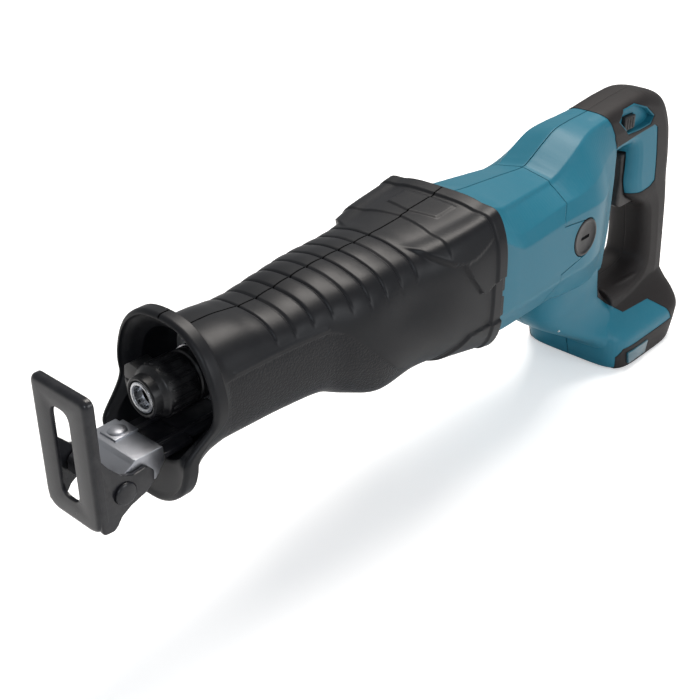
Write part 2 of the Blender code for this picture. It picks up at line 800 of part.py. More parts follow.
def make_yoke(saw, slider):
    """The cross slot at the rear of the blade shaft in which the crank's roller runs from side to side."""
    half_slot = yoke_slot_half()
    reach = CRANK_RADIUS + ROLLER_RADIUS + GAP
    half_length = half_slot + YOKE_WALL
    half_width = reach + YOKE_WALL
    shoulder = half_width - YOKE_CHAMFER
    outline = [
        (-shoulder, -half_length),
        (shoulder, -half_length),
        (half_width, -half_length + YOKE_CHAMFER),
        (half_width, half_length - YOKE_CHAMFER),
        (shoulder, half_length),
        (-shoulder, half_length),
        (-half_width, half_length - YOKE_CHAMFER),
        (-half_width, -half_length + YOKE_CHAMFER),
    ]
    outline = [(x, yoke_y() + y) for x, y in outline]
    yoke = prism_shape(outline, SHAFT_Z - YOKE_HALF_HEIGHT, SHAFT_Z + YOKE_HALF_HEIGHT, "Z")
    yoke = link_mesh("shaft_yoke", yoke, saw)
    slot = box_shape((-reach, yoke_y() - half_slot, -0.02), (reach, yoke_y() + half_slot, 0.02))
    cut(yoke, link_mesh("yoke_slot", slot, saw))
    return carried_by(finished(yoke, "bright_steel"), slider)


def make_blade_shaft(saw, slider):
    rear = yoke_y() - yoke_slot_half() - YOKE_WALL - GAP
    shaft = turned_shape(
        (
            (SHAFT_RADIUS - 0.0006, SHAFT_FRONT_Y),
            (SHAFT_RADIUS, SHAFT_FRONT_Y + 0.0006),
            (SHAFT_RADIUS, rear),
        ),
        False,
        "Y",
        SHAFT_CENTRE,
    )
    shaft = link_mesh("blade_shaft", shaft, saw)
    thickness, height, depth = BLADE_SLOT
    low = (-thickness / 2, SHAFT_FRONT_Y - 0.01, SHAFT_Z - height / 2)
    slot = box_shape(low, (thickness / 2, SHAFT_FRONT_Y + depth, SHAFT_Z + height / 2))
    cut(shaft, link_mesh("blade_slot", slot, saw))
    return carried_by(finished(shaft, "bright_steel"), slider)


def make_clamp(saw, clamp):
    """The turning sleeve that locks the blade, its ring and its lever."""
    rear = CLAMP_FRONT_Y + CLAMP_LENGTH
    bore = SHAFT_RADIUS + GAP
    profile = (
        (CLAMP_RADIUS - 0.0030, CLAMP_FRONT_Y),
        (CLAMP_RADIUS, CLAMP_FRONT_Y + 0.0040),
        (CLAMP_RADIUS, rear - 0.0060),
        (CLAMP_RADIUS - 0.0020, rear - 0.0040),
        (CLAMP_RADIUS - 0.0020, rear),
        (bore, rear),
        (bore, CLAMP_FRONT_Y),
    )
    sleeve = link_mesh("clamp_sleeve", turned_shape(profile, True, "Y", SHAFT_CENTRE), saw)
    low = (-LEVER_REACH, CLAMP_FRONT_Y + 0.0060, SHAFT_Z - 0.0020)
    lever = box_shape(low, (-CLAMP_RADIUS + 0.0015, rear - 0.0080, SHAFT_Z + 0.0040))
    join(sleeve, link_mesh("clamp_lever", lever, saw))
    carried_by(finished(sleeve, "black_plastic"), clamp)
    low = rear + GAP - 0.0036
    ring = ring_shape(CLAMP_RADIUS - 0.0016, CLAMP_RADIUS + 0.0008, low, rear - 0.0004, "Y", SHAFT_CENTRE)
    ring = link_mesh("clamp_ring", ring, saw)
    return carried_by(finished(ring, "bright_steel"), clamp)


# ---------------------------------------------------------------- motor


def make_pinion(saw, motor):
    """The bevel pinion on the motor's nose. Its teeth grow along rays from the crossing of the two axes."""
    shape = bmesh.new()
    slope = PINION_TEETH / GEAR_TEETH
    rings = []
    for cone in (GEAR_INNER, GEAR_OUTER):
        ring = []
        for tooth in range(PINION_TEETH):
            tip = 0.5 * TOOTH_TIP_SHARE
            for share, level in ((-0.5, 0), (-tip, 1), (tip, 1), (0.5, 0)):
                # The gear has a tooth straight below the pinion, so the pinion has a gap there.
                turn = 2 * math.pi * (tooth + 0.5 + share * TOOTH_SHARE) / PINION_TEETH
                height = ADDENDUM if level else -DEDENDUM
                radius = cone * slope + height * module_at(cone)
                place = Vector((radius * math.sin(turn), CRANK_Y + cone, MOTOR_Z - radius * math.cos(turn)))
                ring.append(shape.verts.new(place))
        rings.append(ring)
    bridge(shape, rings[0], rings[1])
    shape.faces.new(rings[0])
    shape.faces.new(rings[1])
    pinion = link_mesh("drive_pinion", shape, saw)
    return carried_by(finished(pinion, "bright_steel", 25), motor)


def make_armature(saw, motor):
    """The turning part of the motor: shaft, slotted core, commutator and fan."""
    centre = (0, 0, MOTOR_Z)
    front = CRANK_Y + GEAR_OUTER + GAP
    ends = (MOTOR_SHAFT_RADIUS - 0.0005, front), (MOTOR_SHAFT_RADIUS, front + 0.0005)
    profile = (*ends, (MOTOR_SHAFT_RADIUS, MOTOR_SHAFT_REAR_Y))
    shaft = link_mesh("motor_shaft", turned_shape(profile, False, "Y", centre), saw)
    carried_by(finished(shaft, "bright_steel"), motor)

    bore = MOTOR_SHAFT_RADIUS + GAP
    core_radius = FIELD_RADIUS - FIELD_WALL - MAGNET_DEPTH - AIR_GAP
    core = link_mesh("armature_core", slotted_ring(bore, core_radius, *CORE_Y, centre), saw)
    carried_by(finished(core, "core_steel", 20), motor)

    commutator = ring_shape(bore, COMMUTATOR_RADIUS, *COMMUTATOR_Y, "Y", centre)
    carried_by(finished(link_mesh("commutator", commutator, saw), "copper"), motor)

    fan = link_mesh("cooling_fan", ring_shape(bore, 0.4 * FAN_RADIUS, *FAN_Y, "Y", centre), saw)
    disc = ring_shape(bore, FAN_RADIUS, FAN_Y[1] - 0.0015, FAN_Y[1] + 0.0002, "Y", centre, 33)
    join(fan, link_mesh("fan_disc", disc, saw))
    blades = bmesh.new()
    for blade in range(FAN_BLADES):
        low = (0.3 * FAN_RADIUS, FAN_Y[0] + 0.0005, -0.0006)
        high = (0.95 * FAN_RADIUS, FAN_Y[1] - 0.0005, 0.0006)
        one = box_shape(low, high)
        turn = Matrix.Rotation(2 * math.pi * blade / FAN_BLADES, 4, "Y")
        bmesh.ops.transform(one, matrix=Matrix.Translation(Vector(centre)) @ turn, verts=one.verts)
        add_shape(blades, one)
    join(fan, link_mesh("fan_blades", blades, saw))
    return carried_by(finished(fan, "black_plastic"), motor)


def add_shape(shape, other):
    """Copies another bmesh's faces into this one, and frees it."""
    twins = {vertex: shape.verts.new(vertex.co) for vertex in other.verts}
    for face in other.faces:
        shape.faces.new([twins[vertex] for vertex in face.verts])
    other.free()


def slotted_ring(bore, radius, low, high, centre):
    """A ring with winding slots in its rim."""
    points = 4 * CORE_SLOTS
    shape = bmesh.new()
    loops = []
    for y in (low, high):
        outer = []
        inner = []
        for step in range(points):
            turn = 2 * math.pi * (step + 0.5) / points
            reach = radius - CORE_SLOT_DEPTH if step % 4 == 0 else radius
            way = Vector((math.cos(turn), 0, math.sin(turn)))
            middle = Vector(centre) + Vector((0, y, 0))
            outer.append(shape.verts.new(middle + reach * way))
            inner.append(shape.verts.new(middle + bore * way))
        loops.append((outer, inner))
    bridge(shape, loops[0][0], loops[1][0])
    bridge(shape, loops[0][1], loops[1][1])
    for outer, inner in loops:
        bridge(shape, outer, inner)
    return shape


def make_field(saw):
    """The steel field ring and the two curved magnets inside it."""
    centre = (0, 0, MOTOR_Z)
    inner = FIELD_RADIUS - FIELD_WALL
    ring = ring_shape(inner, FIELD_RADIUS, *FIELD_Y, "Y", centre, 36)
    finished(link_mesh("field_ring", ring, saw), "core_steel")
    for side, name in ((1, "magnet_left"), (-1, "magnet_right")):
        arc = math.radians(MAGNET_ARC)
        steps = 12
        outline = []
        for radius, order in ((inner - GAP, range(steps + 1)), (inner - MAGNET_DEPTH, range(steps, -1, -1))):
            for step in order:
                turn = -arc / 2 + arc * step / steps
                outline.append((side * radius * math.cos(turn), MOTOR_Z + radius * math.sin(turn)))
        magnet = prism_shape(outline, FIELD_Y[0] + 0.0020, FIELD_Y[1] - 0.0020, "Y")
        finished(link_mesh(name, magnet, saw), "magnet")


def make_bearings(saw):
    centre = (0, 0, MOTOR_Z)
    bore = MOTOR_SHAFT_RADIUS + RUNNING
    make_bearing("front_bearing", BEARING_RADIUS, bore, *FRONT_BEARING_Y, centre, "Y", saw)
    make_bearing("rear_bearing", BEARING_RADIUS, bore, *REAR_BEARING_Y, centre, "Y", saw)


def make_brushes(saw):
    """On each side: a brass tube that holds a carbon brush against the commutator, and the cap over it."""
    length, width, height = BRUSH_SIZE
    tip = COMMUTATOR_RADIUS + GAP
    end = CAP_FACE_X - CAP_DEPTH - GAP
    for side, hand in ((1, "left"), (-1, "right")):
        low = (tip, BRUSH_Y - width / 2, MOTOR_Z - height / 2)
        high = (tip + length, BRUSH_Y + width / 2, MOTOR_Z + height / 2)
        brush = mirrored(box_shape(low, high), side)
        finished(link_mesh("brush_" + hand, brush, saw), "carbon")
        wall = BRUSH_TUBE_WALL + GAP
        low = (tip + 0.0020, BRUSH_Y - width / 2 - wall, MOTOR_Z - height / 2 - wall)
        high = (end, BRUSH_Y + width / 2 + wall, MOTOR_Z + height / 2 + wall)
        holder = link_mesh("brush_holder_" + hand, mirrored(box_shape(low, high), side), saw)
        low = (tip - 0.01, BRUSH_Y - width / 2 - GAP, MOTOR_Z - height / 2 - GAP)
        high = (end + 0.01, BRUSH_Y + width / 2 + GAP, MOTOR_Z + height / 2 + GAP)
        cut(holder, link_mesh("brush_way_" + hand, mirrored(box_shape(low, high), side), saw))
        finished(holder, "bronze")
        profile = (
            (CAP_RADIUS - 0.0008, CAP_FACE_X),
            (CAP_RADIUS, CAP_FACE_X - 0.0008),
            (CAP_RADIUS, CAP_FACE_X - CAP_DEPTH),
        )
        cap = mirrored(turned_shape(profile, False, "X", (0, BRUSH_Y, MOTOR_Z)), side)
        cap = link_mesh("brush_cap_" + hand, cap, saw)
        long, wide, deep = CAP_SLOT
        low = (CAP_FACE_X - deep, BRUSH_Y - long / 2, MOTOR_Z - wide / 2)
        high = (CAP_FACE_X + 0.01, BRUSH_Y + long / 2, MOTOR_Z + wide / 2)
        cut(cap, link_mesh("cap_slot_" + hand, mirrored(box_shape(low, high), side), saw))
        finished(cap, "black_plastic")


def shell_rings(stations, inset):
    return [ring_at(row, inset, MOTOR_HOUSING_ROUNDNESS) for row in stations]


def make_motor_housing(saw):
    sleeve = loft_shape(shell_rings(MOTOR_STATIONS, 0), shell_rings(MOTOR_STATIONS, MOTOR_HOUSING_WALL))
    return finished(link_mesh("motor_housing", sleeve, saw), "teal_plastic")


# ---------------------------------------------------------------- handle


def foot_ring(row, inset=0.0):
    z, half_width, front, rear = row
    middle = (front + rear) / 2
    reach = (rear - front) / 2 - inset
    points = superellipse(RING_POINTS, half_width - inset, reach, reach, FOOT_ROUNDNESS)
    return [Vector((across, middle + along, z)) for across, along in points]


def make_handle_half(saw, side):
    """One half of the rear clamshell: motor cover, D-shaped grip core, chin and battery foot."""
    hand = "left" if side > 0 else "right"
    cover = loft_shape([ring_at(row, 0, MOTOR_HOUSING_ROUNDNESS) for row in REAR_STATIONS])
    half = link_mesh("handle_" + hand, cover, saw)
    loop = prism_shape(LOOP_OUTER, -LOOP_HALF_WIDTH, LOOP_HALF_WIDTH)
    join(half, link_mesh("handle_loop_" + hand, loop, saw))
    chin_shape = prism_shape(CHIN_OUTLINE, -CHIN_HALF_WIDTH, CHIN_HALF_WIDTH)
    chin = softened(link_mesh("handle_chin_" + hand, chin_shape, saw), 0.0060, 3)
    join(half, chin)
    foot = loft_shape([foot_ring(row) for row in FOOT_STATIONS])
    join(half, link_mesh("handle_foot_" + hand, foot, saw))
    for name, shape in handle_hollows():
        cut(half, link_mesh(name + "_" + hand, shape, saw))
    for number, place in enumerate(HANDLE_SCREWS, 1):
        cut(half, link_mesh(f"screw_way_{number}_{hand}", screw_shape(place, GAP), saw))
    reach = 0.2
    near = PARTING * side
    far = -side * reach
    low = (min(near, far), 0, -reach)
    high = (max(near, far), 2 * reach, reach)
    cut(half, link_mesh("other_half_" + hand, box_shape(low, high), saw))
    return finished(half, "teal_plastic")


def handle_hollows():
    """What both halves leave free: the motor's rear, finger hole, switch, controller and battery."""
    inner = [ring_at(row, SHELL_WALL, MOTOR_HOUSING_ROUNDNESS) for row in REAR_STATIONS[:-1]]
    for ring in inner[:1]:
        for point in ring:
            point.y -= 0.01
    yield "hollow_motor", loft_shape(inner)
    yield "hollow_fingers", prism_shape(FINGER_HOLE, -0.1, 0.1)
    yield "hollow_caps", rod_shape(CAP_RADIUS + GAP, -0.1, 0.1, "X", (0, BRUSH_Y, MOTOR_Z))
    yield "hollow_trigger", box_shape(
        (-TRIGGER_HALF_WIDTH - TRIGGER_GAP, TRIGGER_FRONT_Y - 0.0080, TRIGGER_BOTTOM_Z - TRIGGER_GAP),
        (
            TRIGGER_HALF_WIDTH + TRIGGER_GAP,
            TRIGGER_REAR_Y + TRIGGER_TRAVEL + TRIGGER_GAP,
            TRIGGER_TOP_Z + TRIGGER_GAP,
        ),
    )
    half = SWITCH_HALF_WIDTH + GAP
    yield "hollow_switch", box_shape(
        (-half, SWITCH_LOW[0] - 0.0060, SWITCH_LOW[1] - GAP),
        (half, SWITCH_HIGH[0] + GAP, SWITCH_HIGH[1] + GAP),
    )
    long, high = LOCK_SIZE
    yield "hollow_lock", box_shape(
        (-0.1, LOCK_Y - long / 2 - GAP, LOCK_Z - high / 2 - GAP),
        (0.1, LOCK_Y + long / 2 + GAP, LOCK_Z + high / 2 + GAP),
    )
    width, low_y, low_z, high_y, high_z = CONTROLLER
    yield "hollow_controller", box_shape(
        (-width - GAP, low_y - GAP, low_z - GAP), (width + GAP, high_y + GAP, high_z + GAP)
    )
    yield "hollow_bay", battery_bay()


def battery_bay():
    """The slot that the battery slides into from behind, with a lip along each side to hang it by."""
    half = BAY_HALF_WIDTH
    mouth = half - RAIL_LIP
    rail_z = FOOT_BOTTOM_Z + RAIL_DEPTH
    below = FOOT_BOTTOM_Z - 0.01
    outline = (
        (-mouth, below),
        (mouth, below),
        (mouth, rail_z),
        (half, rail_z),
        (half, BAY_ROOF_Z),
        (-half, BAY_ROOF_Z),
        (-half, rail_z),
        (-mouth, rail_z),
    )
    return prism_shape(outline, BAY_FRONT_Y, GRIP_REAR_Y + 0.01, "Y")


def screw_shape(place, grow=0.0):
    """A clamshell screw. Its head sits in the right-hand side, and its shank ends in the left half."""
    y, z, half_width = place
    profile = (
        (SCREW_HEAD_RADIUS + grow, -half_width + 0.0010 - (0.1 if grow else 0)),
        (SCREW_HEAD_RADIUS + grow, -half_width + 0.0010 + SCREW_HEAD_DEPTH + grow),
        (SCREW_RADIUS + grow, -half_width + 0.0010 + SCREW_HEAD_DEPTH + grow),
        (SCREW_RADIUS + grow, SCREW_END_X + grow),
    )
    return turned_shape(profile, False, "X", (0, y, z), 12)


def make_screws(saw):
    for number, place in enumerate(HANDLE_SCREWS, 1):
        finished(link_mesh(f"handle_screw_{number}", screw_shape(place), saw), "black_steel")


def make_grip_pad(saw, side):
    """The soft overmould on one side of the handle, wrapped round its top and back."""
    hand = "left" if side > 0 else "right"
    reach = LOOP_HALF_WIDTH + PAD_DEPTH
    outer = prism_shape(offset_outline(LOOP_OUTER, PAD_DEPTH), *sorted((PARTING * side, reach * side)))
    pad = softened(link_mesh("grip_" + hand, outer, saw), 0.0022, 2)
    core = prism_shape(offset_outline(LOOP_OUTER, GAP), -LOOP_HALF_WIDTH - GAP, LOOP_HALF_WIDTH + GAP)
    cut(pad, link_mesh("pad_core_" + hand, core, saw))
    cut(pad, link_mesh("pad_hole_" + hand, prism_shape(FINGER_HOLE, -0.1, 0.1), saw))
    cut(pad, link_mesh("pad_window_" + hand, prism_shape(TRIGGER_WINDOW, -0.1, 0.1), saw))
    region = link_mesh("pad_region_" + hand, prism_shape(PAD_REGION, -0.1, 0.1), saw)
    combine(pad, region, "INTERSECT")
    long, high = LOCK_SIZE
    way = box_shape(
        (-0.1, LOCK_Y - long / 2 - GAP, LOCK_Z - high / 2 - GAP),
        (0.1, LOCK_Y + long / 2 + GAP, LOCK_Z + high / 2 + GAP),
    )
    cut(pad, link_mesh("pad_lock_way_" + hand, way, saw))
    if side < 0:
        for number, place in enumerate(HANDLE_SCREWS[:2], 1):
            cut(pad, link_mesh(f"pad_screw_way_{number}", screw_shape(place, GAP), saw))
    return finished(pad, "grip_rubber")


def make_badge(saw, side):
    """A blank plate on the lower edge of the foot."""
    hand = "left" if side > 0 else "right"
    long, high, deep = BADGE
    face = FOOT_STATIONS[1][1] + GAP
    low = (face, BADGE_Y - long / 2, BADGE_Z - high / 2)
    plate = box_shape(low, (low[0] + deep, low[1] + long, low[2] + high))
    return finished(link_mesh("badge_" + hand, mirrored(plate, side), saw), "teal_plastic")


def make_end_bell(saw):
    """The cross wall behind the commutator. It carries the rear bearing of the motor."""
    low, high = REAR_BEARING_Y
    rows = [(y, *station_at(REAR_STATIONS, y)[1:]) for y in (low + 0.0010, high - 0.0010)]
    wall = loft_shape([ring_at(row, SHELL_WALL + 0.0012, MOTOR_HOUSING_ROUNDNESS) for row in rows])
    bell = link_mesh("end_bell", wall, saw)
    bore = rod_shape(BEARING_RADIUS + GAP, low - 0.01, high + 0.01, "Y", (0, 0, MOTOR_Z))
    cut(bell, link_mesh("end_bell_bore", bore, saw))
    clear_reach = CAP_RADIUS + GAP
    for side in (-1, 1):
        ends = sorted((side * (CAP_FACE_X - CAP_DEPTH - GAP), side * 0.1))
        way = rod_shape(clear_reach, *ends, "X", (0, BRUSH_Y, MOTOR_Z))
        cut(bell, link_mesh(f"end_bell_cap_way_{side}", way, saw))
    return finished(bell, "black_plastic")


# ---------------------------------------------------------------- switch, trigger and electronics


def make_switch(saw):
    low = (-SWITCH_HALF_WIDTH, *SWITCH_LOW)
    high = (SWITCH_HALF_WIDTH, *SWITCH_HIGH)
    finished(link_mesh("switch_body", box_shape(low, high), saw), "black_plastic")
    width, low_y, low_z, high_y, high_z = CONTROLLER
    board = box_shape((-width, low_y, low_z), (width, high_y, high_z))
    finished(link_mesh("controller", board, saw), "aluminium")
    width, depth, height = TERMINAL
    top = BAY_ROOF_Z - GAP
    block = box_shape((-width, BAY_FRONT_Y + GAP, top - height), (width, BAY_FRONT_Y + depth, top))
    return finished(link_mesh("terminal_block", block, saw), "black_plastic")


def make_trigger(saw, trigger):
    """The long trigger blade with a shallow finger hollow in its front."""
    height = TRIGGER_TOP_Z - TRIGGER_BOTTOM_Z
    steps = 8
    outline = []
    for step in range(steps + 1):
        share = step / steps
        hollow = TRIGGER_HOLLOW * math.sin(math.pi * share)
        lean = 0.0030 * (2 * share - 1) ** 4
        outline.append((TRIGGER_FRONT_Y + hollow + lean, TRIGGER_TOP_Z - height * share))
    outline += [(TRIGGER_REAR_Y, TRIGGER_BOTTOM_Z), (TRIGGER_REAR_Y, TRIGGER_TOP_Z)]
    blade = link_mesh("trigger", prism_shape(outline, -TRIGGER_HALF_WIDTH, TRIGGER_HALF_WIDTH), saw)
    softened(blade, 0.0018, 2, 50)
    return carried_by(finished(blade, "black_plastic"), trigger)


def make_lock_button(saw, lock):
    """The cross bar that blocks the trigger until it is pushed towards the left."""
    long, high = LOCK_SIZE
    face = LOOP_HALF_WIDTH + PAD_DEPTH
    bar = box_shape(
        (-face - LOCK_STAND, LOCK_Y - long / 2, LOCK_Z - high / 2),
        (face - LOCK_SUNK, LOCK_Y + long / 2, LOCK_Z + high / 2),
    )
    bar = softened(link_mesh("lock_button", bar, saw), 0.0010, 2)
    return carried_by(finished(bar, "black_plastic"), lock)


# ---------------------------------------------------------------- shoe


def make_shoe(saw, shoe):
    """The pressed steel plate with its window, side flanges, rear arms and rolled top edge."""
    width = SHOE_HALF_WIDTH
    face = SHOE_FACE_Y
    corner = 0.0050
    outline = (
        (-width, SHOE_TOP_Z - 0.0010),
        (width, SHOE_TOP_Z - 0.0010),
        (width, SHOE_BOTTOM_Z + corner),
        (width - corner, SHOE_BOTTOM_Z),
        (corner - width, SHOE_BOTTOM_Z),
        (-width, SHOE_BOTTOM_Z + corner),
    )
    flat = prism_shape(outline, face, face + SHOE_STEEL, "Y")
    plate = softened(link_mesh("shoe_plate", flat, saw), 0.0008, 1)
    lip = box_shape((-width, face, SHOE_TOP_Z - SHOE_STEEL), (width, face + SHOE_LIP, SHOE_TOP_Z))
    join(plate, softened(link_mesh("shoe_lip", lip, saw), 0.0009, 1))
    flange_y = face + SHOE_FLANGE
    pivot_y, pivot_z = SHOE_PIVOT
    arm = (
        (face + 0.0008, SHOE_TOP_Z - 0.0012),
        (face + SHOE_LIP, SHOE_TOP_Z - 0.0012),
        (flange_y, SHOE_TOP_Z - 0.0090),
        (flange_y, pivot_z + 0.0120),
        (pivot_y + 0.0140, pivot_z + 0.0095),
        (pivot_y + 0.0150, pivot_z - 0.0030),
        (pivot_y + 0.0080, pivot_z - 0.0090),
        (flange_y, SHOE_BOTTOM_Z + corner + 0.0020),
        (face + 0.0008, SHOE_BOTTOM_Z + corner),
    )
    for side, hand in ((1, "left"), (-1, "right")):
        low, high = sorted((side * width, side * (width - SHOE_STEEL)))
        join(plate, link_mesh("shoe_arm_" + hand, prism_shape(arm, low, high), saw))
    half, top, bottom = SHOE_WINDOW
    steps = 6
    window = []
    for end, sign in ((top - half, 1), (bottom + half, -1)):
        for step in range(steps + 1):
            turn = math.pi * step / steps
            window.append((sign * half * math.cos(turn), end + sign * half * math.sin(turn)))
    cut(plate, link_mesh("shoe_window", prism_shape(window, face - 0.01, face + 0.01, "Y"), saw))
    bore = rod_shape(SHOE_PIN_RADIUS + GAP, -0.1, 0.1, "X", (0, pivot_y, pivot_z), 16)
    cut(plate, link_mesh("shoe_pin_way", bore, saw))
    return carried_by(finished(plate, "black_steel"), shoe)


def make_bracket(saw, bracket):
    """The sliding bracket under the blade, the guide block on its nose and the shoe's pivot pin."""
    pivot_y, pivot_z = SHOE_PIVOT
    low = (-BRACKET_HALF_WIDTH, BLOCK_REAR_Y + GAP, BRACKET_TOP_Z - BRACKET_STEEL)
    strip = box_shape(low, (BRACKET_HALF_WIDTH, BRACKET_REAR_Y, BRACKET_TOP_Z))
    carried_by(finished(link_mesh("shoe_bracket", strip, saw), "black_steel"), bracket)
    inside = SHOE_HALF_WIDTH - SHOE_STEEL - GAP
    low = (-inside, pivot_y - SHOE_PIN_RADIUS - 0.0012, pivot_z - SHOE_PIN_RADIUS - 0.0012)
    block_shape = box_shape(low, (inside, BLOCK_REAR_Y, BLOCK_TOP_Z))
    block = softened(link_mesh("guide_block", block_shape, saw), 0.0012, 1)
    bore = rod_shape(SHOE_PIN_RADIUS + RUNNING, -0.1, 0.1, "X", (0, pivot_y, pivot_z), 16)
    cut(block, link_mesh("block_bore", bore, saw))
    carried_by(finished(block, "aluminium"), bracket)
    width = SHOE_HALF_WIDTH
    profile = (
        (PIN_HEAD_RADIUS, -width - GAP - PIN_HEAD_DEPTH),
        (PIN_HEAD_RADIUS, -width - GAP),
        (SHOE_PIN_RADIUS, -width - GAP),
        (SHOE_PIN_RADIUS, width + GAP),
        (PIN_HEAD_RADIUS, width + GAP),
        (PIN_HEAD_RADIUS, width + GAP + PIN_HEAD_DEPTH),
    )
    pin = link_mesh("shoe_pin", turned_shape(profile, False, "X", (0, pivot_y, pivot_z), 16), saw)
    return carried_by(finished(pin, "black_steel"), bracket)


def make_shoe_button(saw, button):
    """The button under the barrel that frees the bracket when it is slid across."""
    length, width = BUTTON_SIZE
    low = (-length / 2, BUTTON_Y - width / 2, BUTTON_BOTTOM_Z)
    high = (length / 2, BUTTON_Y + width / 2, BRACKET_TOP_Z - BRACKET_STEEL - GAP)
    knob = softened(link_mesh("shoe_button", box_shape(low, high), saw), 0.0008, 1)
    return carried_by(finished(knob, "black_plastic"), button)


def build_saw():
    clear_scene()
    middle_y = (SHOE_FACE_Y + GRIP_REAR_Y) / 2
    saw = empty_at("saw", (0, -middle_y, -FOOT_BOTTOM_Z), None)
    make_boot(saw)
    make_gear_housing(saw)
    make_shaft_guide(saw)
    make_bushes(saw)
    make_crank_seat(saw)
    make_motor_bracket(saw)
    make_bearings(saw)
    make_field(saw)
    make_brushes(saw)
    make_end_bell(saw)
    make_motor_housing(saw)
    for side in (1, -1):
        make_handle_half(saw, side)
        make_grip_pad(saw, side)
        make_badge(saw, side)
    make_screws(saw)
    make_switch(saw)

    motor = empty_at("motor_axis", (0, 0, MOTOR_Z), saw)
    make_armature(saw, motor)
    make_pinion(saw, motor)
    crank = empty_at("crank_axis", (0, CRANK_Y, 0), saw)
    make_crank_gear(saw, crank)
    make_crank_pin(saw, crank)
    slider = empty_at("blade_axis", SHAFT_CENTRE, saw)
    make_blade_shaft(saw, slider)
    make_yoke(saw, slider)
    clamp = empty_at("clamp_axis", (0, CLAMP_FRONT_Y, 0), slider)
    make_clamp(saw, clamp)
    bracket = empty_at("bracket_rail", (0, BRACKET_REAR_Y, BRACKET_TOP_Z), saw)
    make_bracket(saw, bracket)
    shoe = empty_at("shoe_axis", (0, *SHOE_PIVOT), saw)
    make_shoe(saw, shoe)
    make_shoe_button(saw, empty_at("button_rail", (0, BUTTON_Y, BUTTON_BOTTOM_Z), saw))
    make_trigger(saw, empty_at("trigger_rail", (0, TRIGGER_REAR_Y, TRIGGER_TOP_Z), saw))
    make_lock_button(saw, empty_at("lock_rail", (0, LOCK_Y, LOCK_Z), saw))


build_saw()
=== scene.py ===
"""The looks of a cordless reciprocating saw: boot, shells, grip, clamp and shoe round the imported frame."""

import json
import math

import bmesh
import bpy
import numpy as np
from mathutils import Matrix, Vector


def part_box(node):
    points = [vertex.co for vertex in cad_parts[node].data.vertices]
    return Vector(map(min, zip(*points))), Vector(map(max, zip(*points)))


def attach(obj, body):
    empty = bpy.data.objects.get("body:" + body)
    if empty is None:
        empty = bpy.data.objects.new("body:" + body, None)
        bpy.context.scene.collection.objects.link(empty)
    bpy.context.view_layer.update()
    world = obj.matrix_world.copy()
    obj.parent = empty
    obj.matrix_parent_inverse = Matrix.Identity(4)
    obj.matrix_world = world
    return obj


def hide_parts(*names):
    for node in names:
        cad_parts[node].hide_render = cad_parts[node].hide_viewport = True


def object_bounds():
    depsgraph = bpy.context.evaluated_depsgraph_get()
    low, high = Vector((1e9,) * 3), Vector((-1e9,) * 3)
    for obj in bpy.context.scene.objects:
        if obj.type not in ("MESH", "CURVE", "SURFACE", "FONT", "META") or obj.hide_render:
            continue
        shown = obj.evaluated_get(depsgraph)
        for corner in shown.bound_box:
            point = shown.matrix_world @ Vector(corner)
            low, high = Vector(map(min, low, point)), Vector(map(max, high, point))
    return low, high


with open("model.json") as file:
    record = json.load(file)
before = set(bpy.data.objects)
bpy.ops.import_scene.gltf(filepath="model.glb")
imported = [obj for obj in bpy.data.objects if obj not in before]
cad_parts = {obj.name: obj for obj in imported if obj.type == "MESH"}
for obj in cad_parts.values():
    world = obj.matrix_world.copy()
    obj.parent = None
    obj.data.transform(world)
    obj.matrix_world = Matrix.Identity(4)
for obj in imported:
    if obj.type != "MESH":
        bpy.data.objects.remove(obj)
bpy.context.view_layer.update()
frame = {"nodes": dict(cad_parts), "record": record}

# Every shape below is drawn in millimetres from the saw's own origin: X is across, Y runs back
# from the nose to the grip and Z is up. The origin lies on the middle line of the nose.
MM = 0.001
NOSE_FRONT = -121.0
FOOT_BOTTOM = -136.5
ORIGIN = Vector(
    (0.0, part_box("front_boot")[0].y - NOSE_FRONT * MM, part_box("handle_left")[0].z - FOOT_BOTTOM * MM)
)
SHAFT_Z = (sum(corner.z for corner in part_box("blade_shaft")) / 2 - ORIGIN.z) / MM
CAP_CENTRE = ((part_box("brush_cap_left")[0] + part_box("brush_cap_left")[1]) / 2 - ORIGIN) / MM
CAP_RADIUS = (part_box("brush_cap_left")[1].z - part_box("brush_cap_left")[0].z) / 2 / MM
SEAM = 0.28  # half the gap between two moulded halves


def span(name):
    """The low and high corners of a CAD node's box, in the saw's millimetres."""
    return [(corner - ORIGIN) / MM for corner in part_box(name)]


# Boot. Each row is (y, half width, height of the widest line, top, bottom, roundness of the section).
BOOT_ROWS = (
    (-114.0, 28.0, -8.0, 20.6, -38.5, 2.5),
    (-108.0, 27.6, -8.0, 19.7, -37.5, 2.6),
    (-91.5, 27.6, -8.0, 19.4, -37.5, 2.7),
    (-70.0, 28.2, -8.0, 16.7, -37.8, 2.8),
    (-45.0, 30.5, -9.0, 19.4, -39.5, 2.8),
    (-29.0, 34.0, -14.0, 21.0, -46.0, 2.6),
    (-10.0, 36.8, -18.0, 21.7, -51.0, 2.5),
    (15.0, 37.5, -17.0, 22.4, -50.0, 2.7),
    (38.0, 39.0, -14.0, 24.2, -51.0, 3.3),
    (60.0, 39.8, -14.0, 26.2, -54.0, 3.8),
    (73.0, 40.2, -14.0, 28.4, -56.0, 3.9),
)
BOOT_WALL = 2.4
BOOT_RINGS = 300
BOOT_POINTS = 340
RIB_FIRST = -76.0
RIB_PITCH = 11.2
RIB_COUNT = 9
RIB_DEPTH = 0.9
RIB_CROWN = 0.35
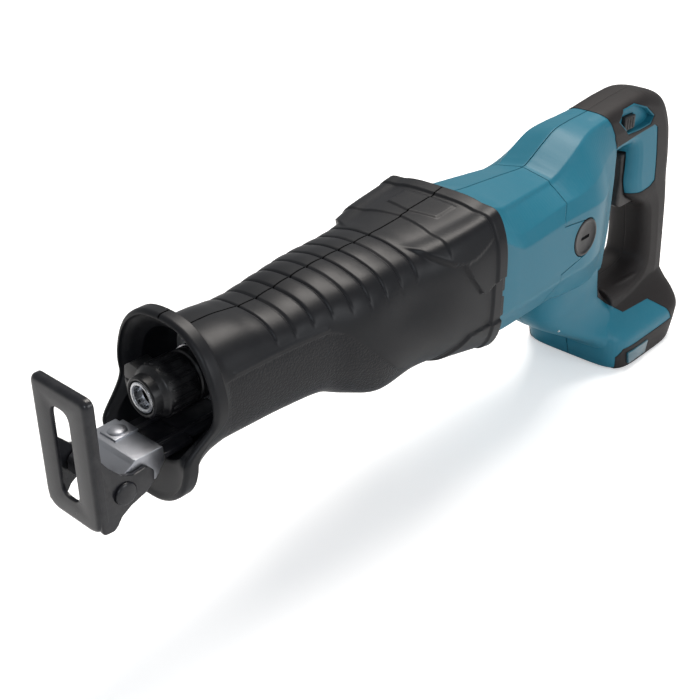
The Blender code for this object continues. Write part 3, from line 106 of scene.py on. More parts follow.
# Outline of the nose, right half, from the crown down to the middle of the lip: (across, height).
NOSE_OUTLINE = (
    (0.0, 30.6), (13.0, 28.8), (23.0, 22.6), (29.4, 14.0), (33.4, 3.0), (34.3, -5.0),
    (33.0, -13.0), (30.6, -22.0), (29.0, -34.0), (25.0, -43.5), (17.8, -50.8), (9.5, -54.9),
    (0.0, -55.8),
)
# The mouth inside the nose, right half. It stops above the chin.
MOUTH_OUTLINE = (
    (0.0, 19.0), (12.0, 17.0), (21.0, 9.5), (25.5, -2.0), (26.0, -12.0), (24.5, -21.0),
    (21.0, -27.5), (14.0, -30.6), (7.0, -31.2), (0.0, -31.3),
)
CHIN_REACH = 15.0  # how far the chin stands forward of the crown


# ---------------------------------------------------------------- outlines and curves


def flow(points, count, closed=False):
    """Points spaced evenly along a smooth curve through the given ones."""
    given = np.array(points, float)
    if closed:
        given = np.vstack([given[-1:], given, given[:2]])
    else:
        given = np.vstack([2 * given[0] - given[1], given, 2 * given[-1] - given[-2]])
    fine = []
    for before, start, end, after in zip(given, given[1:], given[2:], given[3:]):
        for share in np.linspace(0, 1, 24, endpoint=False):
            fine.append(
                0.5
                * (
                    2 * start
                    + (end - before) * share
                    + (2 * before - 5 * start + 4 * end - after) * share**2
                    + (3 * start - before - 3 * end + after) * share**3
                )
            )
    if not closed:
        fine.append(given[-2])
    return evenly(np.array(fine), count, closed)


def evenly(points, count, closed=False):
    """The same run of points, spaced evenly along its length."""
    points = np.asarray(points, float)
    if closed:
        points = np.vstack([points, points[:1]])
    steps = np.linalg.norm(np.diff(points, axis=0), axis=1)
    along = np.concatenate([[0], np.cumsum(steps)])
    wanted = np.linspace(0, along[-1], count + closed)[:count]
    return np.stack([np.interp(wanted, along, points[:, k]) for k in range(points.shape[1])], axis=1)


def rounded(corners, radius, steps=5):
    """A closed outline with an arc at each corner. radius is one number, or one for each corner."""
    radii = radius if isinstance(radius, (tuple, list)) else [radius] * len(corners)
    points = []
    for index, corner in enumerate(corners):
        here = Vector(corner)
        into = Vector(corners[index - 1]) - here
        out = Vector(corners[(index + 1) % len(corners)]) - here
        half = into.angle(out) / 2
        reach = min(radii[index] / math.tan(half), 0.48 * into.length, 0.48 * out.length)
        first = here + into.normalized() * reach
        last = here + out.normalized() * reach
        for step in range(steps + 1):
            share = step / steps
            points.append(tuple((1 - share) ** 2 * first + 2 * share * (1 - share) * here + share**2 * last))
    return points


def soft_step(value, low, high):
    """0 below low, 1 above high, and a smooth rise between them."""
    share = np.clip((value - low) / (high - low), 0, 1)
    return share * share * (3 - 2 * share)


def inside(points, outline):
    """How far each point lies inside a closed outline, in millimetres, and less than 0 outside it."""
    corners = np.array(outline, float)
    within = np.zeros(len(points), bool)
    for start, end in zip(corners, np.roll(corners, -1, axis=0)):
        crosses = (start[1] > points[:, 1]) != (end[1] > points[:, 1])
        rise = 1e-9 if end[1] == start[1] else end[1] - start[1]
        within ^= crosses & (points[:, 0] < (end[0] - start[0]) * (points[:, 1] - start[1]) / rise + start[0])
    nearest = off_line(points, [*corners, corners[0]])
    return np.where(within, nearest, -nearest)


def off_line(points, line):
    """How far each point lies from an open line."""
    corners = np.array(line, float)
    nearest = np.full(len(points), 1e9)
    for start, end in zip(corners, corners[1:]):
        run = end - start
        share = np.clip(((points - start) @ run) / (run @ run), 0, 1)
        nearest = np.minimum(nearest, np.linalg.norm(points - start - share[:, None] * run, axis=1))
    return nearest


def read_rows(rows, y):
    """One row of sizes at each y, flowing smoothly between the given rows."""
    table = np.array(rows, float)
    fine = flow(table, 400)
    return np.stack([np.interp(y, fine[:, 0], fine[:, k]) for k in range(1, table.shape[1])], axis=-1)


def soft_box(count, half_width, up, down, roundness):
    """Points (across, height) round a soft rectangle, from its bottom middle, spaced evenly."""
    angle = np.linspace(-math.pi / 2, 1.5 * math.pi, 4 * count, endpoint=False)
    across = np.cos(angle)
    height = np.sin(angle)
    reach = np.where(height > 0, up, down)
    x = half_width * np.sign(across) * np.abs(across) ** (2 / roundness)
    z = reach * np.sign(height) * np.abs(height) ** (2 / roundness)
    return evenly(np.stack([x, z], axis=1), count, True)


# ---------------------------------------------------------------- meshes

SHARP = math.radians(30)


def as_mesh(shape, name):
    """The mesh of a bmesh, which is freed."""
    mesh = bpy.data.meshes.new(name)
    shape.to_mesh(mesh)
    shape.free()
    return mesh


def placed(name, data):
    """An object in the scene for a mesh, a lamp or a camera."""
    thing = bpy.data.objects.new(name, data)
    bpy.context.scene.collection.objects.link(thing)
    return thing


def link(name, shape, body, slot_name, replaced=(), material=None):
    """Turns a mesh drawn in millimetres into a piece, in its slot's finish unless given another."""
    mesh = as_mesh(shape, name) if isinstance(shape, bmesh.types.BMesh) else shape
    mesh.name = name
    mesh.transform(Matrix.Translation(ORIGIN) @ Matrix.Scale(MM, 4))
    thing = placed(name, mesh)
    mesh.shade_smooth()
    mesh.set_sharp_from_angle(angle=math.radians(40))
    mesh.materials.clear()
    mesh.materials.append(material or SLOT_FINISH[slot_name])
    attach(thing, body)
    if replaced:
        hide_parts(*replaced)
    return thing


def skin(rings, ends):
    """A bmesh through rings of points. ends is capped or joined (last ring back to the first)."""
    shape = bmesh.new()
    made = [[shape.verts.new(point) for point in ring] for ring in rings]
    joined = ends == "joined"
    for first, second in [*zip(made, made[1:]), *([(made[-1], made[0])] if joined else [])]:
        for index in range(len(first)):
            after = (index + 1) % len(first)
            shape.faces.new((first[index], first[after], second[after], second[index]))
    if not joined:
        shape.faces.new(made[0])
        shape.faces.new(made[-1])
    bmesh.ops.recalc_face_normals(shape, faces=shape.faces)
    return shape


def prism(outline, low, high, axis="X"):
    """An outline pulled along an axis from low to high."""
    place = {
        "X": lambda a, b, along: (along, a, b),
        "Y": lambda a, b, along: (a, along, b),
        "Z": lambda a, b, along: (a, b, along),
    }[axis]
    return skin([[place(a, b, along) for a, b in outline] for along in (low, high)], "capped")


def block(low, high):
    """A box from its low corner to its high corner."""
    corners = ((low[0], low[1]), (high[0], low[1]), (high[0], high[1]), (low[0], high[1]))
    return prism(corners, low[2], high[2], "Z")


def turned(profile, axis="Y", centre=(0, 0, 0), closed=False, points=72):
    """Turns (radius, along) pairs about an axis."""
    rings = []
    for radius, along in profile:
        ring = []
        for step in range(points):
            angle = 2 * math.pi * step / points
            a = radius * math.cos(angle)
            b = radius * math.sin(angle)
            spot = {"X": (along, a, b), "Y": (a, along, b), "Z": (a, b, along)}[axis]
            ring.append(tuple(Vector(spot) + Vector(centre)))
        rings.append(ring)
    return skin(rings, "joined" if closed else "capped")


def softened(shape, width, segments=3):
    """Rounds the sharp edges of a bmesh."""
    shape.normal_update()
    sharp = [e for e in shape.edges if len(e.link_faces) == 2 and e.calc_face_angle(0) > SHARP]
    bmesh.ops.bevel(
        shape, geom=sharp, offset=width, segments=segments, profile=0.5, affect="EDGES", clamp_overlap=True
    )
    return shape


def merged(*shapes):
    """Several bmeshes as one."""
    whole = bmesh.new()
    for shape in shapes:
        mesh = as_mesh(shape, "part")
        whole.from_mesh(mesh)
        bpy.data.meshes.remove(mesh)
    return whole


def worked(shape, *steps):
    """Runs a list of modifier steps on a bmesh, and returns the mesh that comes out."""
    mesh = as_mesh(shape, "work") if isinstance(shape, bmesh.types.BMesh) else shape
    thing = placed("work", mesh)
    helpers = []
    for kind, settings in steps:
        step = thing.modifiers.new(kind, kind)
        for key, value in settings.items():
            if isinstance(value, bmesh.types.BMesh):
                value = placed("tool", as_mesh(value, "tool"))
                helpers.append(value)
            setattr(step, key, value)
    graph = bpy.context.evaluated_depsgraph_get()
    graph.update()
    result = bpy.data.meshes.new_from_object(thing.evaluated_get(graph))
    for used in (thing, *helpers):
        bpy.data.objects.remove(used)
    return result


def less(other):
    """The step that cuts another mesh away."""
    return "BOOLEAN", {"operation": "DIFFERENCE", "solver": "EXACT", "object": other}


def only(other):
    """The step that keeps what lies in another mesh."""
    return "BOOLEAN", {"operation": "INTERSECT", "solver": "EXACT", "object": other}


def fused(voxel):
    """The step that joins overlapping meshes into one skin."""
    return "REMESH", {"mode": "VOXEL", "voxel_size": voxel}


def eased(times):
    """The step that smooths the skin a few times."""
    return "SMOOTH", {"factor": 0.5, "iterations": times}


def mirror(mesh):
    """Turns a left-hand mesh into a right-hand one."""
    mesh.transform(Matrix.Scale(-1, 4, (1, 0, 0)))
    mesh.flip_normals()


# ---------------------------------------------------------------- finishes


def group_with(name, inputs, outputs):
    """An empty shader group, the sockets that feed it and the sockets that it fills."""
    group = bpy.data.node_groups.new(name, "ShaderNodeTree")
    for label, kind, value in inputs:
        socket = group.interface.new_socket(label, in_out="INPUT", socket_type="NodeSocket" + kind)
        socket.default_value = value
    for label, kind in outputs:
        group.interface.new_socket(label, in_out="OUTPUT", socket_type="NodeSocket" + kind)
    return group, group.nodes.new("NodeGroupInput").outputs, group.nodes.new("NodeGroupOutput").inputs


def feed(tree, made, inputs):
    """Links each named socket of a node to another socket, or sets it."""
    for key, value in inputs.items():
        if isinstance(value, bpy.types.NodeSocket):
            tree.links.new(value, made.inputs[key])
        else:
            made.inputs[key].default_value = value
    return made


def node(tree, kind, inputs=None, **settings):
    """A node with its settings and its sockets."""
    made = tree.nodes.new("ShaderNode" + kind)
    for key, value in settings.items():
        setattr(made, key, value)
    return feed(tree, made, inputs or {})


def maths(tree, operation, *values):
    return node(tree, "Math", dict(enumerate(values)), operation=operation).outputs[0]


def mixed(tree, share, first, second):
    return node(tree, "Mix", {0: share, 6: first, 7: second}, data_type="RGBA").outputs[2]


def speckle(tree, place, scale, detail=4.0, roughness=0.6):
    inputs = {"Vector": place, "Scale": scale, "Detail": detail, "Roughness": roughness}
    return node(tree, "TexNoise", inputs).outputs["Fac"]


def make_moulded_group():
    """Colour drift, uneven gloss and fine spark texture of a moulded surface."""
    group, given, out = group_with(
        "moulded surface",
        (
            ("Colour", "Color", (0.1, 0.1, 0.1, 1.0)),
            ("Dust Colour", "Color", (0.4, 0.4, 0.4, 1.0)),
            ("Dust", "Float", 0.04),
            ("Drift", "Float", 0.08),
            ("Gloss", "Float", 0.45),
            ("Gloss Drift", "Float", 0.1),
            ("Grain Scale", "Float", 1800.0),
        ),
        (("Colour", "Color"), ("Roughness", "Float"), ("Grain", "Float")),
    )
    place = node(group, "TexCoord").outputs["Object"]
    broad = speckle(group, place, 22.0, 3.0)
    fine = speckle(group, place, 160.0, 6.0, 0.7)
    floor = maths(group, "MULTIPLY_ADD", given["Drift"], -0.5, 1.0)
    shade = maths(group, "MULTIPLY_ADD", broad, given["Drift"], floor)
    colour = {0: given["Colour"], "Scale": shade}
    tinted = node(group, "VectorMath", colour, operation="SCALE").outputs[0]
    strength = maths(group, "MULTIPLY", given["Dust"], 4.0)
    dusty = maths(group, "MULTIPLY", maths(group, "SUBTRACT", fine, 0.42), strength)
    dusty = node(group, "Clamp", {"Value": dusty, "Min": 0.0, "Max": 0.5}).outputs[0]
    group.links.new(mixed(group, dusty, tinted, given["Dust Colour"]), out["Colour"])
    both = maths(group, "ADD", maths(group, "MULTIPLY", broad, 0.5), maths(group, "MULTIPLY", fine, 0.5))
    swing = maths(group, "MULTIPLY", given["Gloss Drift"], 2.0)
    uneven = maths(group, "SUBTRACT", both, 0.5)
    gloss = maths(group, "MULTIPLY_ADD", uneven, swing, given["Gloss"])
    group.links.new(gloss, out["Roughness"])
    grain = speckle(group, place, given["Grain Scale"], 2.0, 0.5)
    group.links.new(grain, out["Grain"])
    return group


def make_wear_group():
    """A mask of the corners that hands and benches rub, broken up by scratches."""
    group, given, out = group_with(
        "rubbed corners",
        (("Reach", "Float", 0.5), ("Break Up", "Float", 0.5)),
        (("Mask", "Float"),),
    )
    bend = node(group, "NewGeometry").outputs["Pointiness"]
    corner = node(group, "MapRange", {"Value": bend, "From Min": 0.53, "From Max": 0.60}).outputs[0]
    place = node(group, "TexCoord").outputs["Object"]
    rough = speckle(group, place, 240.0, 8.0, 0.75)
    patches = {"Value": rough, "From Min": given["Break Up"], "From Max": 0.75}
    broken = node(group, "MapRange", patches).outputs[0]
    mask = maths(group, "MULTIPLY", maths(group, "MULTIPLY", corner, broken), given["Reach"])
    group.links.new(mask, out["Mask"])
    return group


def make_brushed_group():
    """Fine parallel grinding lines along Y for machined steel, with smudges."""
    group, given, out = group_with(
        "ground steel",
        (("Gloss", "Float", 0.25), ("Smudge", "Float", 0.15), ("Stretch", "Vector", (1.0, 0.05, 1.0))),
        (("Roughness", "Float"), ("Lines", "Float")),
    )
    place = node(group, "TexCoord").outputs["Object"]
    stretched = {0: place, 1: given["Stretch"]}
    pulled = node(group, "VectorMath", stretched, operation="MULTIPLY").outputs[0]
    lines = speckle(group, pulled, 2600.0, 3.0, 0.6)
    smudge = speckle(group, place, 90.0, 5.0, 0.6)
    swing = maths(group, "MULTIPLY", given["Smudge"], 2.0)
    uneven = maths(group, "SUBTRACT", smudge, 0.5)
    gloss = maths(group, "MULTIPLY_ADD", uneven, swing, given["Gloss"])
    group.links.new(gloss, out["Roughness"])
    group.links.new(lines, out["Lines"])
    return group


MOULDED = make_moulded_group()
RUBBED = make_wear_group()
GROUND = make_brushed_group()


def blank_material(name):
    """A new material with its node tree and its shader."""
    material = bpy.data.materials.new(name)
    material.use_nodes = True
    tree = material.node_tree
    return material, tree, tree.nodes["Principled BSDF"]


def use_group(tree, group, **inputs):
    """A shader group set into a tree. An underscore in a key stands for a space in the socket's name."""
    made = node(tree, "Group", node_tree=group)
    return feed(tree, made, {key.replace("_", " "): value for key, value in inputs.items()})


def bumped(tree, shader, height, edge, samples):
    """Bumps a shader by a height in millimetres over edges rounded by edge."""
    soft = node(tree, "Bevel", {"Radius": edge}, samples=samples).outputs["Normal"]
    bump = node(tree, "Bump", {"Height": height, "Strength": 1.0, "Distance": MM, "Normal": soft})
    feed(tree, shader, {"Normal": bump.outputs["Normal"]})


def moulded_material(
    name,
    colour,
    gloss=0.45, dust=0.03, dust_colour=(0.5, 0.5, 0.5, 1.0), drift=0.08, gloss_drift=0.1,
    grain=1800.0, depth=0.02, wear=0.3, wear_colour=None, edge=0.0004, specular=0.5, coat=0.0,
    pebble=0.0, seam=0.0,
):
    """Moulded plastic or rubber, with fine grain and rubbed corners.

    pebble is the depth of pebbles where the mesh asks for them.
    seam is half the width, in metres, of a line along the top that is painted near black and loses its
    reflection: painted shade of the seam's groove.
    """
    material, tree, shader = blank_material(name)
    surface = use_group(
        tree,
        MOULDED,
        Colour=(*colour, 1.0),
        Dust=dust,
        Dust_Colour=dust_colour,
        Drift=drift,
        Gloss=gloss,
        Gloss_Drift=gloss_drift,
        Grain_Scale=grain,
    )
    rubbed = use_group(tree, RUBBED, Reach=wear)
    light = wear_colour or tuple(min(1.0, 1.6 * c + 0.03) for c in colour)
    worn = mixed(tree, rubbed.outputs["Mask"], surface.outputs["Colour"], (*light, 1.0))
    feed(
        tree,
        shader,
        {
            "Base Color": worn,
            "Roughness": surface.outputs["Roughness"],
            "Specular IOR Level": specular,
            "Coat Weight": coat,
            "Coat Roughness": 0.12,
        },
    )
    height = maths(tree, "MULTIPLY", surface.outputs["Grain"], depth)
    if pebble:
        place = node(tree, "TexCoord").outputs["Object"]
        cells = node(tree, "TexVoronoi", {"Vector": place, "Scale": 900.0, "Randomness": 1.0}, feature="F1")
        dimple = maths(tree, "MULTIPLY", cells.outputs["Distance"], -pebble)
        where = node(tree, "Attribute", attribute_name="pebbled").outputs["Fac"]
        height = maths(tree, "ADD", height, maths(tree, "MULTIPLY", dimple, where))
    # Painted shade: the line along the top seam is painted near black and its specular cut, standing in for
    # the shade inside the seam's groove.
    if seam:
        spot = node(tree, "SeparateXYZ", {"Vector": node(tree, "TexCoord").outputs["Object"]})
        facing = node(tree, "SeparateXYZ", {"Vector": node(tree, "TexCoord").outputs["Normal"]})
        thin = maths(tree, "LESS_THAN", maths(tree, "ABSOLUTE", spot.outputs["X"]), seam)
        line = maths(tree, "MULTIPLY", thin, maths(tree, "GREATER_THAN", facing.outputs["Z"], 0.3))
        seam_groove_shade_colour = mixed(tree, line, worn, (0.001, 0.001, 0.001, 1.0))
        seam_groove_shade_specular = maths(tree, "MULTIPLY", maths(tree, "SUBTRACT", 1.0, line), specular)
        feed(tree, shader, {"Base Color": seam_groove_shade_colour, "Specular IOR Level": seam_groove_shade_specular})
    bumped(tree, shader, height, edge, 6)
    return material


def metal_material(name, colour, gloss=0.25, lines=0.02, stretch=(1.0, 0.05, 1.0)):
    """Bare metal with grinding or casting marks."""
    material, tree, shader = blank_material(name)
    surface = use_group(tree, GROUND, Gloss=gloss, Stretch=stretch)
    rubbed = use_group(tree, RUBBED, Reach=0.5)
    bright = tuple(min(1.0, 1.25 * c) for c in colour)
    worn = mixed(tree, rubbed.outputs["Mask"], (*colour, 1.0), (*bright, 1.0))
    feed(tree, shader, {"Base Color": worn, "Metallic": 1.0, "Roughness": surface.outputs["Roughness"]})
    height = maths(tree, "MULTIPLY", surface.outputs["Lines"], lines)
    bumped(tree, shader, height, 0.0003, 4)
    return material


TEAL = moulded_material(
    "teal nylon",
    (0.013, 0.140, 0.205),
    gloss=0.42, specular=0.28, dust=0.01, drift=0.05, depth=0.012, wear=0.15, edge=0.0006,
)
# The boot's top seam is a thin line painted dark with its reflection cut, as painted shade of the seam's
# groove.
BOOT = moulded_material(
    "boot rubber",
    (0.0045, 0.0050, 0.0068),
    gloss=0.40, specular=0.27, seam=0.00045, wear_colour=(0.012, 0.0125, 0.015), dust=0.03,
    dust_colour=(0.05, 0.042, 0.038, 1.0), drift=0.25, gloss_drift=0.12, grain=2400.0, depth=0.02,
    wear=0.2, edge=0.0006, pebble=0.22,
)
GRIP = moulded_material(
    "grip rubber",
    (0.012, 0.0098, 0.0098),
    gloss=0.56, wear_colour=(0.03, 0.026, 0.025), dust=0.03, dust_colour=(0.08, 0.066, 0.062, 1.0),
    drift=0.15, grain=2600.0, depth=0.04, wear=0.3, edge=0.0008, specular=0.28,
)
BLACK = moulded_material(
    "black plastic", (0.004, 0.004, 0.005), gloss=0.34, specular=0.35, depth=0.01, wear=0.25
)
TRIGGER_BLACK = moulded_material("trigger plastic", (0.013, 0.0115, 0.0115), gloss=0.46, depth=0.02, wear=0.2)
COATED = moulded_material(
    "coated steel",
    (0.0075, 0.0078, 0.0105),
    gloss=0.30, dust=0.02, drift=0.12, grain=1200.0, depth=0.02, wear=0.6,
    wear_colour=(0.045, 0.040, 0.040), specular=0.35, coat=0.12, edge=0.0004,
)
STEEL = metal_material("ground steel", (0.60, 0.61, 0.63))
GUIDE = metal_material("zinc casting", (0.40, 0.41, 0.44), 0.40, 0.05, (1.0, 1.0, 1.0))
ALUMINIUM = metal_material("cast aluminium", (0.52, 0.53, 0.54), 0.5, 0.10, (0.6, 0.6, 0.6))
BRONZE = metal_material("bronze", (0.50, 0.33, 0.15), gloss=0.4)
COPPER = metal_material("copper", (0.72, 0.34, 0.18), gloss=0.3, stretch=(1.0, 1.0, 0.05))
CORE = metal_material("varnished core steel", (0.20, 0.19, 0.19), 0.45, 0.10, (0.05, 1.0, 0.05))
MAGNET = moulded_material("ferrite", (0.060, 0.060, 0.064), gloss=0.6, grain=900.0, depth=0.05)
CARBON = moulded_material("pressed carbon", (0.025, 0.025, 0.026), gloss=0.7, grain=1100.0, depth=0.05)
FELT = moulded_material("oiled felt", (0.16, 0.15, 0.13), gloss=0.92, grain=700.0, depth=0.3, dust=0.1)
PLATE = moulded_material("badge enamel", (0.012, 0.095, 0.135), gloss=0.30, depth=0.005, coat=0.5, wear=0.1)
# Painted shade: near-black sheets that stand in for the shade inside the vent openings.
VENT_SHADE = moulded_material("painted vent shade", (0.008, 0.008, 0.009), gloss=0.6)

SLOT_FINISH = {
    "teal_housing": TEAL,
    "boot_rubber": BOOT,
    "grip_rubber": GRIP,
    "black_plastic": BLACK,
    "black_steel": COATED,
    "bright_steel": STEEL,
    "aluminium": ALUMINIUM,
    "bronze": BRONZE,
    "copper": COPPER,
    "core_steel": CORE,
    "magnet": MAGNET,
    "carbon": CARBON,
    "felt": FELT,
    "badge": PLATE,
}


def finish_frame():
    """Every CAD node keeps its shape and takes the full finish of its slot."""
    for row in frame["record"]["subparts"]:
        part = frame["nodes"][row["node"]]
        part.data.materials.clear()
        part.data.materials.append(SLOT_FINISH[row["material_slot"]])
        part.data.set_sharp_from_angle(angle=SHARP)


# ---------------------------------------------------------------- boot

# Shapes on the boot's side, drawn as (y, z). They are mirrored onto the other side.
WEDGE = ((9, 34), (12, 23), (24, 14), (35, 8.5), (44, 6.5), (52, 8), (66, 13.5), (66, 34))
REAR_STEP = ((41, 8), (47, -2), (55, -12.5), (60, -13.5), (69, -9), (80, -9), (80, 34), (60, 34))
LOWER_PAD = ((80, -33), (67, -33.5), (49, -34), (43, -38.5), (29, -46), (33, -64), (80, -64))
PEBBLE_PANEL = (
    (-108, 2), (-46, 2), (-38, -1), (-28, -10), (-18, -20), (-8, -30), (0, -34.5),
    (12, -38.5), (26, -41), (42, -38), (27, -46), (31, -64), (-108, -64),
)
BEAD = ((-103, 3.8), (-47, 3.8))
# The flat plate on top near the boot's rear, as (y, distance from the middle).
TOP_PLATE = ((43, -4), (63, -4), (63, 17), (47, 17))
# How far each of those stands out of the plain section, in millimetres.
WEDGE_STANDS = 2.6
STEP_STANDS = 2.0
LOWER_PAD_STANDS = 1.4
REAR_COVER_STANDS = 0.8
TOP_PLATE_STANDS = 0.7
RIM_STANDS = 1.1
PEBBLES_SINK = 0.45
BEAD_STANDS = 0.45
LIP_ROUND = 2.4


def nose_outline(inset=0.0):
    """The nose's outline, moved inwards by inset."""
    half = np.array(NOSE_OUTLINE, float)
    left = half[1:-1] * (-1, 1)
    points = flow(np.vstack([half[::-1], left]), BOOT_POINTS, True)
    return points - inset * outward(points)


def outward(points):
    """The direction that faces out of a closed outline at each of its points."""
    along = np.roll(points, -1, axis=0) - np.roll(points, 1, axis=0)
    normal = np.stack([along[:, 1], -along[:, 0]], axis=1)
    return normal / np.linalg.norm(normal, axis=1, keepdims=True)


def boot_section(y, inset=0.0):
    """The boot's plain section at y, as points (across, height)."""
    half_width, middle, top, bottom, roundness = read_rows(BOOT_ROWS, y)
    ring = soft_box(BOOT_POINTS, half_width - inset, top - middle - inset, middle - bottom - inset, roundness)
    return ring + (0, middle)


def boot_relief(y, ring):
    """How far each point of one boot ring stands proud of the plain section, and how pebbled it is."""
    normal = outward(ring)
    side = soft_step(np.abs(normal[:, 0]), 0.25, 0.7)
    crown = soft_step(normal[:, 1], 0.35, 0.72)
    spots = np.stack([np.full(len(ring), y), ring[:, 1]], axis=1)
    proud = np.zeros(len(ring))
    last_rib = RIB_FIRST + (RIB_COUNT - 1) * RIB_PITCH
    if RIB_FIRST - RIB_PITCH < y < last_rib + RIB_PITCH:
        share = (y - RIB_FIRST) / RIB_PITCH
        near = abs(share - round(share)) * RIB_PITCH
        swell = RIB_CROWN * abs(math.sin(math.pi * share))
        notch = RIB_DEPTH * math.exp(-((near / 0.55) ** 2)) if 0 <= round(share) < RIB_COUNT else 0
        fade = 1 - soft_step(y, last_rib, last_rib + RIB_PITCH)
        reach = soft_step(y, RIB_FIRST - RIB_PITCH, RIB_FIRST) * fade
        proud += crown * (swell * reach - notch)
    hollow = np.exp(-(((y - 8) / 27) ** 2) - ((ring[:, 1] + 3) / 13) ** 2)
    bulge = np.exp(-(((y + 15) / 20) ** 2) - ((ring[:, 1] + 42) / 10) ** 2)
    proud += side * (1.6 + 1.8 * bulge - 3.3 * hollow) * soft_step(y, -45, -12)
    wedge = soft_step(inside(spots, WEDGE), -0.1, 1.1)
    step = soft_step(inside(spots, REAR_STEP), 0.0, 0.9)
    pad = soft_step(inside(spots, LOWER_PAD), 0.0, 1.2)
    proud += side * np.maximum(WEDGE_STANDS * wedge, STEP_STANDS * step) + side * LOWER_PAD_STANDS * pad
    front_edge = 38 - 5 * np.clip(np.abs(ring[:, 0]) / 34, 0, 1)
    proud += crown * REAR_COVER_STANDS * soft_step(y - front_edge, 0, 1.2)
    plate = inside(np.stack([np.full(len(ring), y), np.abs(ring[:, 0])], axis=1), TOP_PLATE)
    proud += crown * TOP_PLATE_STANDS * soft_step(plate, 0, 1.0)
    proud += RIM_STANDS * soft_step(y, 65.2, 66.6)
    panel = inside(spots, PEBBLE_PANEL)
    pebbled = soft_step(panel, 0.0, 0.8) * (1 - soft_step(inside(spots, LOWER_PAD), -0.5, 0.3))
    pebbled = pebbled * soft_step(np.abs(normal[:, 0]), 0.05, 0.2)
    proud -= PEBBLES_SINK * pebbled
    proud += BEAD_STANDS * side * np.exp(-((off_line(spots, BEAD) / 0.8) ** 2))
    return proud, pebbled


def swept(ring, y):
    """A ring of the rim as points. Its lower half sweeps forward."""
    across, height = ring[:, 0], ring[:, 1]
    sweep = CHIN_REACH * soft_step(-height, 9, 29)
    return np.stack([across, y - sweep, height], axis=1)


def nose_rings():
    """The flared mouth, from inside the nose out over its rim and back to the boot."""
    rings = []
    throat = boot_section(-100.0, 4.2)
    half = np.array(MOUTH_OUTLINE)
    mouth = flow(np.vstack([half[::-1], half[1:-1] * (-1, 1)]), BOOT_POINTS, True)
    lip = -112.0 - 6.0 * soft_step(-mouth[:, 1], 8, 26)
    for y in (-94.0, -100.0):
        rings.append(np.insert(throat, 1, y, axis=1))
    for share in np.linspace(0.2, 1, 6):
        ring = throat + (mouth - throat) * share
        rings.append(swept(ring, -100.0 + (lip + 101.2) * share))
    edge = nose_outline(LIP_ROUND)
    for share, y in ((0.02, -0.4), (0.06, -0.8), (0.14, -1.2)):
        rings.append(swept(mouth + (edge - mouth) * share, lip + y))
    for share in (0.4, 0.65, 0.85, 0.93):
        rings.append(swept(mouth + (edge - mouth) * share, lip - 1.2 + (-120.9 - lip + 1.2) * share))
    for step in range(7):
        turn = math.pi / 2 * step / 6
        y = -119.1 - LIP_ROUND * math.cos(turn)
        rings.append(swept(nose_outline(LIP_ROUND * (1 - math.sin(turn))), y))
    for y in (-117.5, -116.0, -114.5):
        rings.append(swept(nose_outline(), y))
    first = swept(nose_outline(), -114.0)
    last = np.insert(boot_section(-107.0), 1, -108.0, axis=1)
    for step in range(1, 8):
        turn = math.pi / 2 * step / 8
        ring = first + (last - first) * math.sin(turn)
        ring[:, 1] = first[:, 1] + (last[:, 1] - first[:, 1]) * (1 - math.cos(turn))
        rings.append(ring)
    return rings


def make_boot():
    """The rubber boot with its nose, ribs and pads, and the hollow inside it."""
    rings = nose_rings()
    pebbles = [np.zeros(BOOT_POINTS) for _ in rings]
    for y in np.linspace(-106.5, 73.0, BOOT_RINGS):
        ring = boot_section(y)
        proud, pebbled = boot_relief(y, ring)
        rings.append(np.insert(ring + proud[:, None] * outward(ring), 1, y, axis=1))
        pebbles.append(pebbled)
    for y in np.linspace(73.0, -94.0, 40):
        rings.append(np.insert(boot_section(y, BOOT_WALL), 1, y, axis=1))
        pebbles.append(np.zeros(BOOT_POINTS))
    shape = skin([[tuple(p) for p in ring] for ring in rings], "joined")
    boot = link("boot", shape, "housing", "boot_rubber", ["front_boot"])
    mask = boot.data.attributes.new("pebbled", "FLOAT", "POINT")
    mask.data.foreach_set("value", np.concatenate(pebbles).astype(np.float32))


# ---------------------------------------------------------------- teal shells

